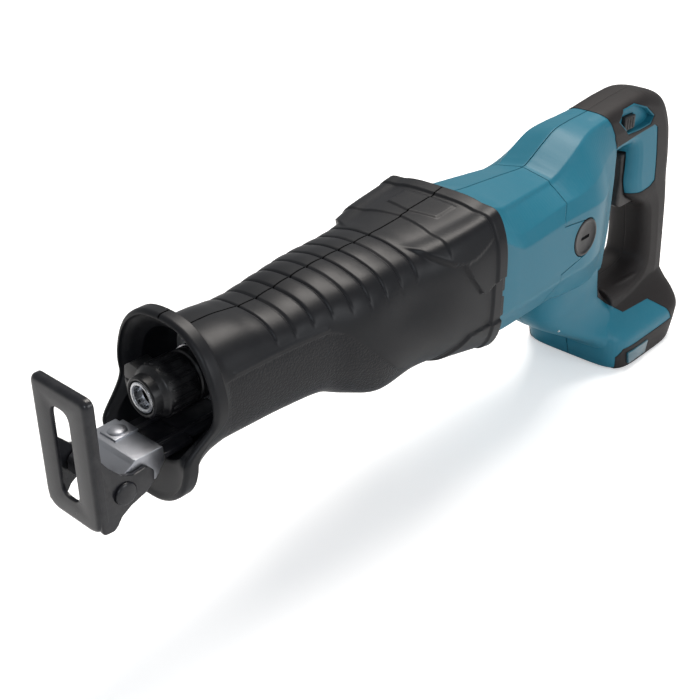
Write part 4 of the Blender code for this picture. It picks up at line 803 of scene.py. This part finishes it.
# Sections of the motor housing and rear cover. Each row is y and the height of the middle of the top, then
# (x, z) of the plateau's edge, the foot of its step, the shoulder, the side's top and bottom, and the keel.
BODY_ROWS = (
    (73.4, 26.0, 20.0, 23.5, 21.5, 22.0, 31.0, 17.0, 38.5, 9.0, 38.8, -36.0, 27.0, -57.0),
    (80.0, 25.2, 20.5, 22.8, 22.0, 21.3, 31.0, 15.5, 38.5, 7.0, 38.8, -36.0, 27.0, -57.0),
    (92.0, 24.0, 24.5, 19.2, 26.0, 17.0, 33.0, 8.0, 38.4, 0.0, 38.6, -37.0, 27.0, -57.5),
    (101.0, 23.4, 24.2, 18.6, 25.7, 15.6, 34.5, 4.0, 38.2, -3.0, 38.3, -38.0, 27.0, -58.0),
    (124.0, 21.8, 21.4, 17.5, 22.8, 15.0, 33.8, 5.8, 37.8, -2.0, 37.8, -38.0, 26.5, -58.0),
    (147.0, 20.2, 18.6, 16.6, 20.0, 14.6, 33.0, 7.5, 37.3, -1.0, 37.3, -38.0, 26.0, -58.0),
    (155.0, 23.0, 18.8, 18.6, 20.2, 17.0, 33.0, 7.8, 37.3, -1.0, 37.2, -38.0, 26.0, -60.0),
    (166.0, 29.0, 19.0, 24.0, 20.4, 22.0, 32.6, 8.5, 37.2, -1.5, 37.0, -38.0, 25.0, -62.0),
    (178.0, 34.6, 18.0, 30.0, 19.2, 28.4, 31.0, 10.0, 36.0, -2.0, 35.6, -38.0, 24.0, -64.0),
    (190.0, 36.2, 15.5, 33.0, 16.6, 31.6, 27.5, 11.5, 32.6, -2.5, 32.0, -38.0, 23.0, -66.0),
    (202.0, 36.8, 14.0, 34.2, 15.0, 32.8, 22.6, 13.0, 27.0, -3.0, 26.6, -38.0, 21.0, -68.0),
    (214.0, 37.4, 13.4, 35.0, 14.4, 33.6, 18.8, 14.5, 21.0, -3.0, 21.0, -38.0, 18.0, -70.0),
    (225.0, 38.0, 13.0, 35.4, 14.0, 34.0, 16.6, 16.0, 17.2, -3.0, 17.0, -38.0, 15.0, -72.0),
)
BODY_CORNER_RADII = (2.0, 0.8, 0.8, 2.5, 5.0, 9.0, 8.0)
# The D of the handle: pairs of (inner, outer) points as (y, z), and its half width there.
LOOP_ROWS = (
    ((208, 8), (204, 36.0), 16.0),
    ((224, 7.5), (226, 38.6), 16.6),
    ((240, 8.5), (244, 40.2), 17.0),
    ((248, 7), (263, 40.2), 17.2),
    ((250, 1), (283, 33.0), 17.4),
    ((250.5, -9), (295, 17.0), 17.4),
    ((251, -19), (301, -3), 17.2),
    ((257, -30), (303.5, -22), 16.8),
    ((273, -40), (306.0, -42), 16.4),
    ((278, -54), (308.0, -62), 16.4),
    ((280.5, -70), (309.5, -84), 16.8),
    ((279, -81), (310.5, -101), 17.4),
    ((268, -86), (309, -116), 19.0),
    ((250, -87), (285, -124), 21.0),
    ((232, -86), (240, -122), 22.0),
)
# The chin under the motor, from the top down: (z, half width, front y, rear y).
CHIN_ROWS = (
    (-40, 17, 152, 212.0),
    (-52, 20, 151, 219.0),
    (-62, 21.5, 151.5, 223.0),
    (-72, 21.5, 153.5, 224.5),
    (-83, 20.5, 158, 228),
    (-93, 21, 169, 236),
    (-104, 25, 188, 246),
    (-113, 31, 205, 258),
    (-120, 35, 214, 268),
)
# The battery foot, from the bottom up: (z, half width, front y, rear y).
FOOT_ROWS = (
    (FOOT_BOTTOM, 37.2, 222.6, 294.0),
    (-135.8, 38.0, 221.6, 297.0),
    (-133.0, 38.4, 220.4, 299.0),
    (-121.0, 38.3, 216.5, 305.5),
    (-114.5, 36.8, 214.5, 309.5),
    (-108.0, 31.0, 214.5, 311.0),
    (-102.0, 24.0, 217.0, 310.8),
    (-95.0, 18.5, 226.0, 309.0),
    (-88.0, 15.5, 240.0, 305.0),
)
# Where the motor housing ends and the rear cover begins, as (y, z).
MOTOR_REGION = (
    (50, 70), (147, 70), (147, 13), (145, 7.2), (139.8, 0.8), (138.4, -3.8), (164, -7.0),
    (164, -29.6), (139.2, -33.6), (139.2, -40.5), (136.2, -47.5), (135.6, -90), (50, -90),
)
GRIP_REGION = (
    (213, 70), (213, 38), (217, 31), (221, 24), (224, 15), (226, 4), (240, -6), (240, -66),
    (224.5, -71), (219, -85), (243, -103), (273, -104), (285, -113), (290, -121.5),
    (228, -121.5), (224, -126.5), (229, -150), (330, -150), (330, 70),
)
TRIGGER_PANEL = (
    (216, 13.0), (240, 15.5), (268, 18.5), (272, 16), (276, -5), (278.5, -22), (274, -25),
    (263, -26.5), (239, -25), (216, -25),
)
LOCK_POCKET = ((225, 31), (232, 35.5), (244, 36.5), (256, 32), (266, 24.5), (262, 21), (250, 20), (237, 20.5))
VOXEL = 0.6
PAD_STANDS = 0.45  # how far the overmould stands out of the shell
PANEL_GAP = 0.55  # between the motor housing and the rear cover
SHELL_WALL = 2.6
BODY_SECTIONS = 64


def body_ring(row, inset=0.0):
    """One section of the body as a ring of points."""
    y, top = row[:2]
    corners = np.array(row[2:]).reshape(-1, 2) - (inset, 0)
    corners[:, 1] -= inset * np.sign(corners[:, 1] + 10)
    bottom = corners[-1][1]
    half = [(0.0, top - inset), *map(tuple, corners), (0.0, bottom)]
    full = [*half, *[(-x, z) for x, z in reversed(half[1:-1])]]
    radii = [12.0, *BODY_CORNER_RADII[:6], 1.0, *reversed(BODY_CORNER_RADII[:6])]
    return [(x, y, z) for x, z in rounded(full, radii)]


def body_rings(rows, inset=0.0):
    """Rings evenly spaced from the first row's y to the last one's."""
    places = np.linspace(rows[0][0], rows[-1][0], BODY_SECTIONS)
    return [body_ring((y, *row), inset) for y, row in zip(places, read_rows(rows, places))]


def loop_rings():
    """Rings along the D of the handle."""
    table = np.array([[*inner, *outer, half] for inner, outer, half in LOOP_ROWS], float)
    rings = []
    for inner_y, inner_z, outer_y, outer_z, half in flow(table, 90):
        middle = np.array([(inner_y + outer_y) / 2, (inner_z + outer_z) / 2])
        reach = np.array([outer_y, outer_z]) - middle
        ring = []
        for across, along in soft_box(64, half, 1.0, 1.0, 3.4):
            spot = middle + along * reach
            ring.append((across, spot[0], spot[1]))
        rings.append(ring)
    return rings


def stack_rings(rows, roundness):
    """Level rings from rows of (z, half width, front y, rear y)."""
    rings = []
    for z, half, front, rear in flow(rows, 40):
        middle = (front + rear) / 2
        reach = (rear - front) / 2
        outline = soft_box(96, half, reach, reach, roundness)
        rings.append([(across, middle + along, z) for across, along in outline])
    return rings


def make_body_form():
    """The motor housing, rear cover, chin, handle loop and foot as one fair surface."""
    parts = merged(
        skin(body_rings(BODY_ROWS), "capped"),
        skin(loop_rings(), "capped"),
        skin(stack_rings(CHIN_ROWS, 3.4), "capped"),
        skin(stack_rings(FOOT_ROWS, 5.5), "capped"),
    )
    return worked(parts, fused(VOXEL), eased(2))


def left_half(mesh):
    """What lies left of the seam, closed where it is cut."""
    shape = bmesh.new()
    shape.from_mesh(mesh)
    cut = bmesh.ops.bisect_plane(
        shape,
        geom=[*shape.verts, *shape.edges, *shape.faces],
        plane_co=(SEAM, 0, 0),
        plane_no=(-1, 0, 0),
        clear_outer=True,
    )
    edges = [e for e in cut["geom_cut"] if isinstance(e, bmesh.types.BMEdge)]
    bmesh.ops.triangle_fill(shape, edges=edges, use_beauty=False)
    bmesh.ops.recalc_face_normals(shape, faces=shape.faces)
    return shape


def grown(outline, reach):
    """An outline moved outwards all round."""
    points = np.array(outline, float)
    return [tuple(p) for p in points + reach * outward(points) * turning(points)]


def turning(points):
    """1 for an outline that runs anticlockwise, else -1."""
    area = np.sum(points[:, 0] * np.roll(points[:, 1], -1) - points[:, 1] * np.roll(points[:, 0], -1))
    return 1 if area > 0 else -1


def side_prism(outline, reach=0.0, low=-80.0, high=80.0):
    """A cutter through the whole width, from an outline seen from the side."""
    return prism(grown(outline, reach) if reach else outline, low, high)


def make_shells():
    """Both halves of the teal shells, with the grip's overmould on them."""
    form = make_body_form()
    half = left_half(form)
    rear_rows = [row for row in BODY_ROWS if row[0] <= 203]
    hollow = skin(body_rings([(60.0, *BODY_ROWS[0][1:]), *rear_rows], SHELL_WALL), "capped")
    cap_way = turned(((CAP_RADIUS + 0.3, 20), (CAP_RADIUS + 0.3, 60)), "X", (0, CAP_CENTRE.y, CAP_CENTRE.z))
    shell = worked(half, less(hollow), less(cap_way))
    motor = worked(shell.copy(), only(side_prism(MOTOR_REGION)))
    rear = worked(shell.copy(), less(side_prism(MOTOR_REGION, PANEL_GAP)))
    for cutter in (*battery_bay(), trigger_way(), side_prism(LOCK_POCKET, 0, 12.6, 30), lock_way()):
        rear = worked(rear, less(cutter))
    pad = worked(rear.copy(), only(side_prism(GRIP_REGION)))
    spine = block((-3.6, 296.0, -74.0), (3.6, 320.0, -2.0))
    for cutter in (side_prism(TRIGGER_PANEL, 0.5), side_prism(LOCK_POCKET, 1.1), spine):
        pad = worked(pad, less(cutter))
    pad = worked(pad, ("DISPLACE", {"strength": PAD_STANDS, "mid_level": 0.0}))
    pieces = (
        ("motor_shell", motor, "teal_housing", (["motor_housing"], [])),
        ("rear_shell", rear, "teal_housing", (["handle_left"], ["handle_right"])),
        ("grip_overmould", pad, "grip_rubber", (["grip_left"], ["grip_right"])),
    )
    for name, mesh, slot_name, replaced in pieces:
        for hand, nodes in zip(("left", "right"), replaced):
            copy = mesh.copy()
            if hand == "right":
                mirror(copy)
            link(f"{name}_{hand}", copy, "housing", slot_name, nodes)


def make_end_bell():
    """The cross wall behind the commutator, cut to the shape of the cover round it."""
    y_low, y_high = [(c.y - ORIGIN.y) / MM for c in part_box("end_bell")]
    bore = (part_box("rear_bearing")[1].x - ORIGIN.x) / MM + 0.1
    middle = sum((c.z - ORIGIN.z) / MM / 2 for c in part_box("rear_bearing"))
    row = read_rows(BODY_ROWS, y_high)
    edges = ((y_low, 3.6), (y_low + 0.6, 3.0), (y_high - 0.6, 3.0), (y_high, 3.6))
    rings = [body_ring((y, *row), inset) for y, inset in edges]
    for y in (y_high, y_low):
        rings.append([])
        for x, _, z in rings[0]:
            way = Vector((x, z - middle)).normalized() * bore
            rings[-1].append((way.x, y, way.y + middle))
    link("end_wall", skin(rings, "joined"), "housing", "black_plastic", ["end_bell"])


def battery_bay():
    """The pocket that a battery slides into, and its mouth underneath."""
    pocket = block((-31.0, 242.0, FOOT_BOTTOM + 3.6), (31.0, 330.0, -123.0))
    mouth = block((-27.0, 242.0, -150.0), (27.0, 330.0, FOOT_BOTTOM + 3.8))
    return pocket, mouth


def trigger_way():
    """The slot in the grip that the trigger moves in."""
    return block((-9.1, 225.0, -36.8), (9.1, 281.5, 3.0))


def lock_way():
    """The hole through the handle for the lock bar."""
    low, high = span("lock_button")
    return block((-40, low.y - 0.4, low.z - 0.4), (40, high.y + 0.4, high.z + 0.4))


# ---------------------------------------------------------------- trigger, lock and caps


def make_trigger():
    """The long trigger: a rounded blade with a shallow hollow for the finger."""
    low, high = span("trigger")
    half = high.x - 0.2
    rings = []
    count = 30
    for step in range(count + 1):
        share = step / count
        z = high.z - 0.3 - (high.z - low.z - 0.6) * share
        pinch = max(0.0, abs(2 * share - 1) - 0.86) / 0.14
        hollow = 1.6 * math.sin(math.pi * share) ** 2
        front = low.y - 0.5 + hollow + 2.6 * pinch**2
        corners = ((-half, front), (half, front), (half, high.y), (-half, high.y))
        outline = rounded(corners, (3.0, 3.0, 0.5, 0.5), 6)
        rings.append([(x, y, z) for x, y in outline])
    link("trigger_blade", skin(rings, "capped"), "trigger", "black_plastic", ["trigger"], TRIGGER_BLACK)


def make_lock():
    """The cross bar, with three finger ridges on each end."""
    low, high = span("lock_button")
    bar = softened(block(low, high), 1.0)
    ridges = []
    for end in (low.x, high.x):
        for step in range(3):
            y = low.y + (step + 1) * (high.y - low.y) / 4
            reach = 0.5 if end > 0 else -0.5
            near, far = sorted((end - 2 * reach, end + reach))
            ridge = block((near, y - 0.5, low.z + 1.2), (far, y + 0.5, high.z - 1.2))
            ridges.append(softened(ridge, 0.25, 2))
    link("lock_bar", merged(bar, *ridges), "lock_bar", "black_plastic", ["lock_button"], TRIGGER_BLACK)


def make_caps():
    """The brush caps: a dished disc with a raised rim and a screwdriver slot."""
    face = (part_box("brush_cap_left")[1].x - ORIGIN.x) / MM
    radius = CAP_RADIUS - 0.15
    profile = (
        (radius - 0.3, face - 7.0), (radius, face - 6.6), (radius, face - 0.7),
        (radius - 0.25, face - 0.2), (radius - 0.8, face), (radius - 1.6, face),
        (radius - 2.1, face - 0.35), (radius - 2.6, face - 0.6), (3.6, face - 0.6),
        (3.4, face - 0.6),
    )
    for hand in ("left", "right"):
        disc = turned(profile, "X", (0, CAP_CENTRE.y, CAP_CENTRE.z))
        slot_low = (face - 2.2, CAP_CENTRE.y - 4.2, CAP_CENTRE.z - 1.1)
        slot_high = (face + 5, CAP_CENTRE.y + 4.2, CAP_CENTRE.z + 1.1)
        slot = softened(block(slot_low, slot_high), 0.5)
        mesh = worked(disc, less(slot))
        if hand == "right":
            mirror(mesh)
        link("brush_cap_disc_" + hand, mesh, "housing", "black_plastic", ["brush_cap_" + hand])


# ---------------------------------------------------------------- clamp


def make_clamp():
    """The blade clamp: a ribbed drum, its collar, bright socket ring and hooked lever."""
    low, high = span("clamp_sleeve")
    centre = (0, 0, SHAFT_Z)
    front = low.y
    drum = 12.6
    profile = (
        (7.6, front + 1.2), (8.2, front + 0.2), (9.0, front), (9.8, front + 0.5),
        (10.0, front + 4.6), (11.6, front + 6.2), (drum - 0.3, front + 6.6),
        (drum, front + 7.2), (drum, front + 23.0), (drum - 0.8, front + 23.6),
        (drum - 0.8, front + 24.6), (drum, front + 25.2), (drum, high.y - 4.5),
        (drum - 0.7, high.y - 4.0), (10.6, high.y - 3.8), (10.4, high.y), (7.6, high.y),
    )
    body = turned(profile, "Y", centre, True, 96)
    fins = []
    for step in range(18):
        angle = 2 * math.pi * step / 18
        if abs(math.degrees(angle) - 180) < 35:
            continue
        fin = softened(block((drum - 0.4, front + 8.5, -0.9), (drum + 0.5, front + 21.5, 0.9)), 0.35, 2)
        fin.transform(Matrix.Translation((0, 0, SHAFT_Z)) @ Matrix.Rotation(-angle, 4, "Y"))
        fins.append(fin)
    lever_outline = ((-8.0, -3.0), (-17.0, -2.6), (-19.4, 1.2), (-18.6, 6.4), (-14.5, 9.4), (-8.0, 8.2))
    lever_radii = (0.5, 2.5, 2.0, 2.0, 2.0, 0.5)
    lever = prism(rounded(lever_outline, lever_radii), front + 6.4, front + 16.5, "Y")
    tooth_outline = ((-19.2, 0.5), (-15.2, -0.5), (-13.5, -6.5), (-17.6, -7.5))
    tooth = prism(rounded(tooth_outline, 1.4, 4), front + 6.0, front + 14.0, "Y")
    for hook in (lever, tooth):
        hook.transform(Matrix.Translation((0, 0, SHAFT_Z)))
    parts = merged(body, *fins, softened(lever, 0.7), softened(tooth, 0.7))
    link("clamp_drum", parts, "blade_clamp", "black_plastic", ["clamp_sleeve"])
    ring = turned(
        (
            (7.5, front + 1.0), (7.4, front + 0.3), (6.9, front - 0.1), (6.1, front - 0.1),
            (5.5, front + 0.5), (5.5, front + 5.0), (7.5, front + 5.0),
        ),
        "Y",
        centre,
        True,
    )
    link("socket_ring", ring, "blade_slider", "bright_steel")


# ---------------------------------------------------------------- shoe


def make_shoe():
    """The pressed shoe: a pan with rolled edges and a blade window, and an arm down each side."""
    low, high = span("shoe_plate")
    face = low.y
    steel = 1.9
    bend = 2.6
    side_depth = 4.8
    half = high.x
    count = 12

    def frame_ring(inset, depth):
        wide, bottom, top = half - inset, low.z + inset, high.z - inset
        corners = ((-wide, bottom), (wide, bottom), (wide, top), (-wide, top))
        radii = [max(0.6, r - inset) for r in (9.0, 9.0, 4.5, 4.5)]
        return [(x, face + depth, z) for x, z in rounded(corners, radii, count)]

    def window_ring(grow, depth):
        wide, top, bottom = 6.2 + grow, 9.0 + grow, -36.5 - grow
        corners = ((-wide, bottom), (wide, bottom), (wide, top), (-wide, top))
        return [(x, face + depth, z) for x, z in rounded(corners, 5.4 + grow, count)]

    rings = [window_ring(0, steel), window_ring(0, 0.6), window_ring(0.25, 0.15), window_ring(0.8, 0)]
    for inset in (bend + 3.0, bend + 0.4):
        rings.append(frame_ring(inset, 0))
    for step in range(1, 7):
        turn = math.pi / 2 * step / 6
        rings.append(frame_ring(bend * (1 - math.sin(turn)), bend * (1 - math.cos(turn))))
    rolled_edge = (
        (0, side_depth - 0.4), (0.4, side_depth), (steel - 0.4, side_depth),
        (steel, side_depth - 0.4), (steel, bend + 0.4), (steel + 0.6, steel + 0.2),
        (bend + 0.4, steel), (bend + 3.0, steel),
    )
    rings += [frame_ring(inset, depth) for inset, depth in rolled_edge]
    pan = skin(rings, "joined")
    edge = (
        (1.2, -5.0), (3.5, -9.0), (8.0, -16.0), (14.0, -22.5), (20.0, -25.2), (27.0, -24.6),
        (30.5, -28.0), (30.0, -33.5), (25.5, -37.0), (17.0, -39.5), (11.8, -42.5),
        (9.2, -46.0), (7.2, -47.6), (1.2, -47.0),
    )
    outline = [(face + back, height) for back, height in edge]
    arms = []
    for side in (1, -1):
        near, far = sorted((side * (half - 0.05), side * (half - steel - 0.4)))
        arms.append(softened(prism(rounded(outline, 2.5, 4), near, far), 0.45, 2))
    link("shoe_pan", merged(pan, *arms), "shoe", "black_steel", ["shoe_plate"])


def make_pin():
    """The shoe's pivot pin, with a domed head at each end."""
    low, high = span("shoe_pin")
    head = (high.z - low.z) / 2
    inner = (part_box("shoe_plate")[1].x - ORIGIN.x) / MM + 0.15
    middle = (low + high) / 2
    turns = np.linspace(0.08, math.pi / 2, 8)
    dome = [(head * math.sin(turn), high.x - 0.1 - 1.3 * (1 - math.cos(turn))) for turn in turns]
    run = [*dome, (head, inner), (2.9, inner)]
    profile = [*((radius, -along) for radius, along in run), *reversed(run)]
    pin = turned(profile, "X", (0, middle.y, middle.z))
    link("pivot_pin", pin, "shoe_slider", "black_steel", ["shoe_pin"])


def make_guide():
    """The bright guide block that the blade runs over, its rivet, and the dark arm behind it."""
    low, high = span("guide_block")
    wide = high.x
    outline = (
        (low.y + 0.2, low.z + 0.2), (low.y + 0.2, high.z - 8.5),
        (low.y + 1.5, high.z - 6.5), (low.y + 11.0, high.z - 1.4), (low.y + 13.0, high.z),
        (high.y, high.z), (high.y, low.z + 7.0), (high.y - 5.0, low.z + 0.2),
    )
    body = softened(prism(rounded(outline, 1.2, 3), -wide, wide), 0.6)
    rivet_y = high.y - 7.0
    rivet_radius = 4.4
    dome = [
        (rivet_radius * math.sin(turn), high.z - 0.3 + 1.5 + 1.4 * math.cos(turn))
        for turn in np.linspace(0.1, math.pi / 2, 8)
    ]
    rivet = turned([*dome, (rivet_radius, high.z - 0.5)], "Z", (-6.5, rivet_y, 0))
    seat = softened(block((-12.0, rivet_y - 5.5, high.z - 0.4), (-1.0, high.y + 0.5, high.z + 1.0)), 0.4, 2)
    link("guide_casting", merged(body, seat, rivet), "shoe_slider", "aluminium", ["guide_block"], GUIDE)
    arm_low, arm_high = span("shoe_bracket")
    plate = softened(block(arm_low, arm_high), 0.5, 2)
    shoulder_high = (15.6, high.y + 17.0, arm_high.z + 0.4)
    shoulder = softened(block((-15.6, high.y + 0.3, arm_low.z), shoulder_high), 0.6, 2)
    ribs = []
    for x in (-8, 8):
        rib = block((x - 1.2, high.y + 1.0, arm_high.z), (x + 1.2, arm_high.y - 20, arm_high.z + 1.6))
        ribs.append(softened(rib, 0.5, 2))
    link("shoe_arm", merged(plate, shoulder, *ribs), "shoe_slider", "black_steel", ["shoe_bracket"])


def make_release():
    """The release button under the barrel, with grip lines across it."""
    low, high = span("shoe_button")
    body = softened(block(low, high), 0.9)
    lines = []
    for step in range(5):
        x = low.x + 2.2 + step * (high.x - low.x - 4.4) / 4
        line = block((x - 0.5, low.y + 1.2, low.z - 0.5), (x + 0.5, high.y - 1.2, low.z + 1.0))
        lines.append(softened(line, 0.3, 2))
    link("release_button", merged(body, *lines), "shoe_release", "black_plastic", ["shoe_button"])


# ---------------------------------------------------------------- vents and badges


def make_vents():
    """Dark sheets laid in the air slots of the motor housing, next to the boot, as painted shade of the
    openings.
    """
    for side, hand in ((1, "left"), (-1, "right")):
        slots = []
        for low, high in ((-3.0, 5.0), (-21.0, -8.5), (-36.0, -23.5)):
            outline = rounded(((77.6, low), (80.6, low + 0.4), (80.6, high - 0.8), (77.6, high)), 0.7, 3)
            near, far = sorted((side * 37.6, side * 38.95))
            slots.append(softened(prism(outline, near, far), 0.15, 1))
        # Each slot is a thin near-black sheet on the shell, painted shade where the opening would be.
        link("vent_slots_" + hand, merged(*slots), "housing", "black_plastic", [], VENT_SHADE)


def make_badges():
    """A blank enamelled plate on each side of the foot."""
    for side, hand in ((1, "left"), (-1, "right")):
        low, high = span("badge_" + hand)
        face = max(abs(low.x), abs(high.x)) * side
        corners = ((low.y + 2.0, low.z), (high.y - 2.5, low.z), (high.y, high.z), (low.y, high.z))
        near, far = sorted((face - 1.6 * side, face + 0.05 * side))
        plate = softened(prism(rounded(corners, 1.0, 4), near, far), 0.3, 2)
        link("badge_plate_" + hand, plate, "housing", "teal_housing", ["badge_" + hand], PLATE)


# ---------------------------------------------------------------- studio


def make_floor():
    """A pale floor. It shines a little for the camera alone, so it stays white and doesn't light the saw."""
    floor = bpy.data.meshes.new("floor")
    reach = 6.0
    corners = [(-reach, -reach, 0), (reach, -reach, 0), (reach, reach, 0), (-reach, reach, 0)]
    floor.from_pydata(corners, [], [(0, 1, 2, 3)])
    ground = placed("floor", floor)
    ground.location.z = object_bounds()[0][2] - 0.0005
    material, tree, shader = blank_material("studio floor")
    shine = maths(tree, "MULTIPLY", node(tree, "LightPath").outputs["Is Camera Ray"], 0.40)
    white = {"Base Color": (0.93, 0.93, 0.93, 1.0), "Emission Color": (1.0, 1.0, 1.0, 1.0)}
    feed(tree, shader, {**white, "Roughness": 0.9, "Emission Strength": shine})
    floor.materials.append(material)


def make_studio():
    """A pale room, brighter for the camera than for the saw, and three soft lamps."""
    world = bpy.data.worlds.new("studio")
    bpy.context.scene.world = world
    world.use_nodes = True
    tree = world.node_tree
    seen = node(tree, "LightPath").outputs["Is Camera Ray"]
    bright = maths(tree, "ADD", maths(tree, "MULTIPLY", seen, 0.65), 0.40)
    feed(tree, tree.nodes["Background"], {"Color": (0.96, 0.98, 1.0, 1.0), "Strength": bright})
    lights = (
        ("overhead", (-0.2, 0.5, 1.4), (0.0, 0.0, 0.1), 0.8, 21.0, (1.0, 0.95, 0.90)),
        ("front", (0.9, -1.3, 0.9), (0.0, -0.1, 0.1), 0.5, 5.0, (0.86, 0.92, 1.0)),
        ("near side", (1.5, 0.3, 0.7), (0.0, 0.0, 0.1), 0.6, 6.0, (0.95, 0.97, 1.0)),
    )
    for name, place, target, size, watts, colour in lights:
        lamp = bpy.data.lights.new(name, "AREA")
        lamp.energy = watts
        lamp.size = size
        lamp.color = colour
        thing = placed(name, lamp)
        thing.location = place
        aim = Vector(target) - Vector(place)
        thing.rotation_euler = aim.to_track_quat("-Z", "Y").to_euler()


def make_camera():
    """The camera, in front of the nose, above it and to its left."""
    bpy.context.scene.view_settings.view_transform = "Standard"
    lens = bpy.data.cameras.new("camera")
    lens.sensor_width = 36.0
    lens.lens = 60.4
    lens.clip_start = 0.01
    camera = placed("camera", lens)
    place = ORIGIN + Vector((354.9, -391.3, 266.5)) * MM
    target = ORIGIN + Vector((0.0, 0.0, -38.5)) * MM
    camera.location = place
    camera.rotation_euler = (target - place).to_track_quat("-Z", "Y").to_euler()
    bpy.context.scene.camera = camera


finish_frame()
make_boot()
make_shells()
make_end_bell()
make_trigger()
make_lock()
make_caps()
make_clamp()
make_shoe()
make_pin()
make_guide()
make_release()
make_vents()
make_badges()
make_floor()
make_studio()
make_camera()
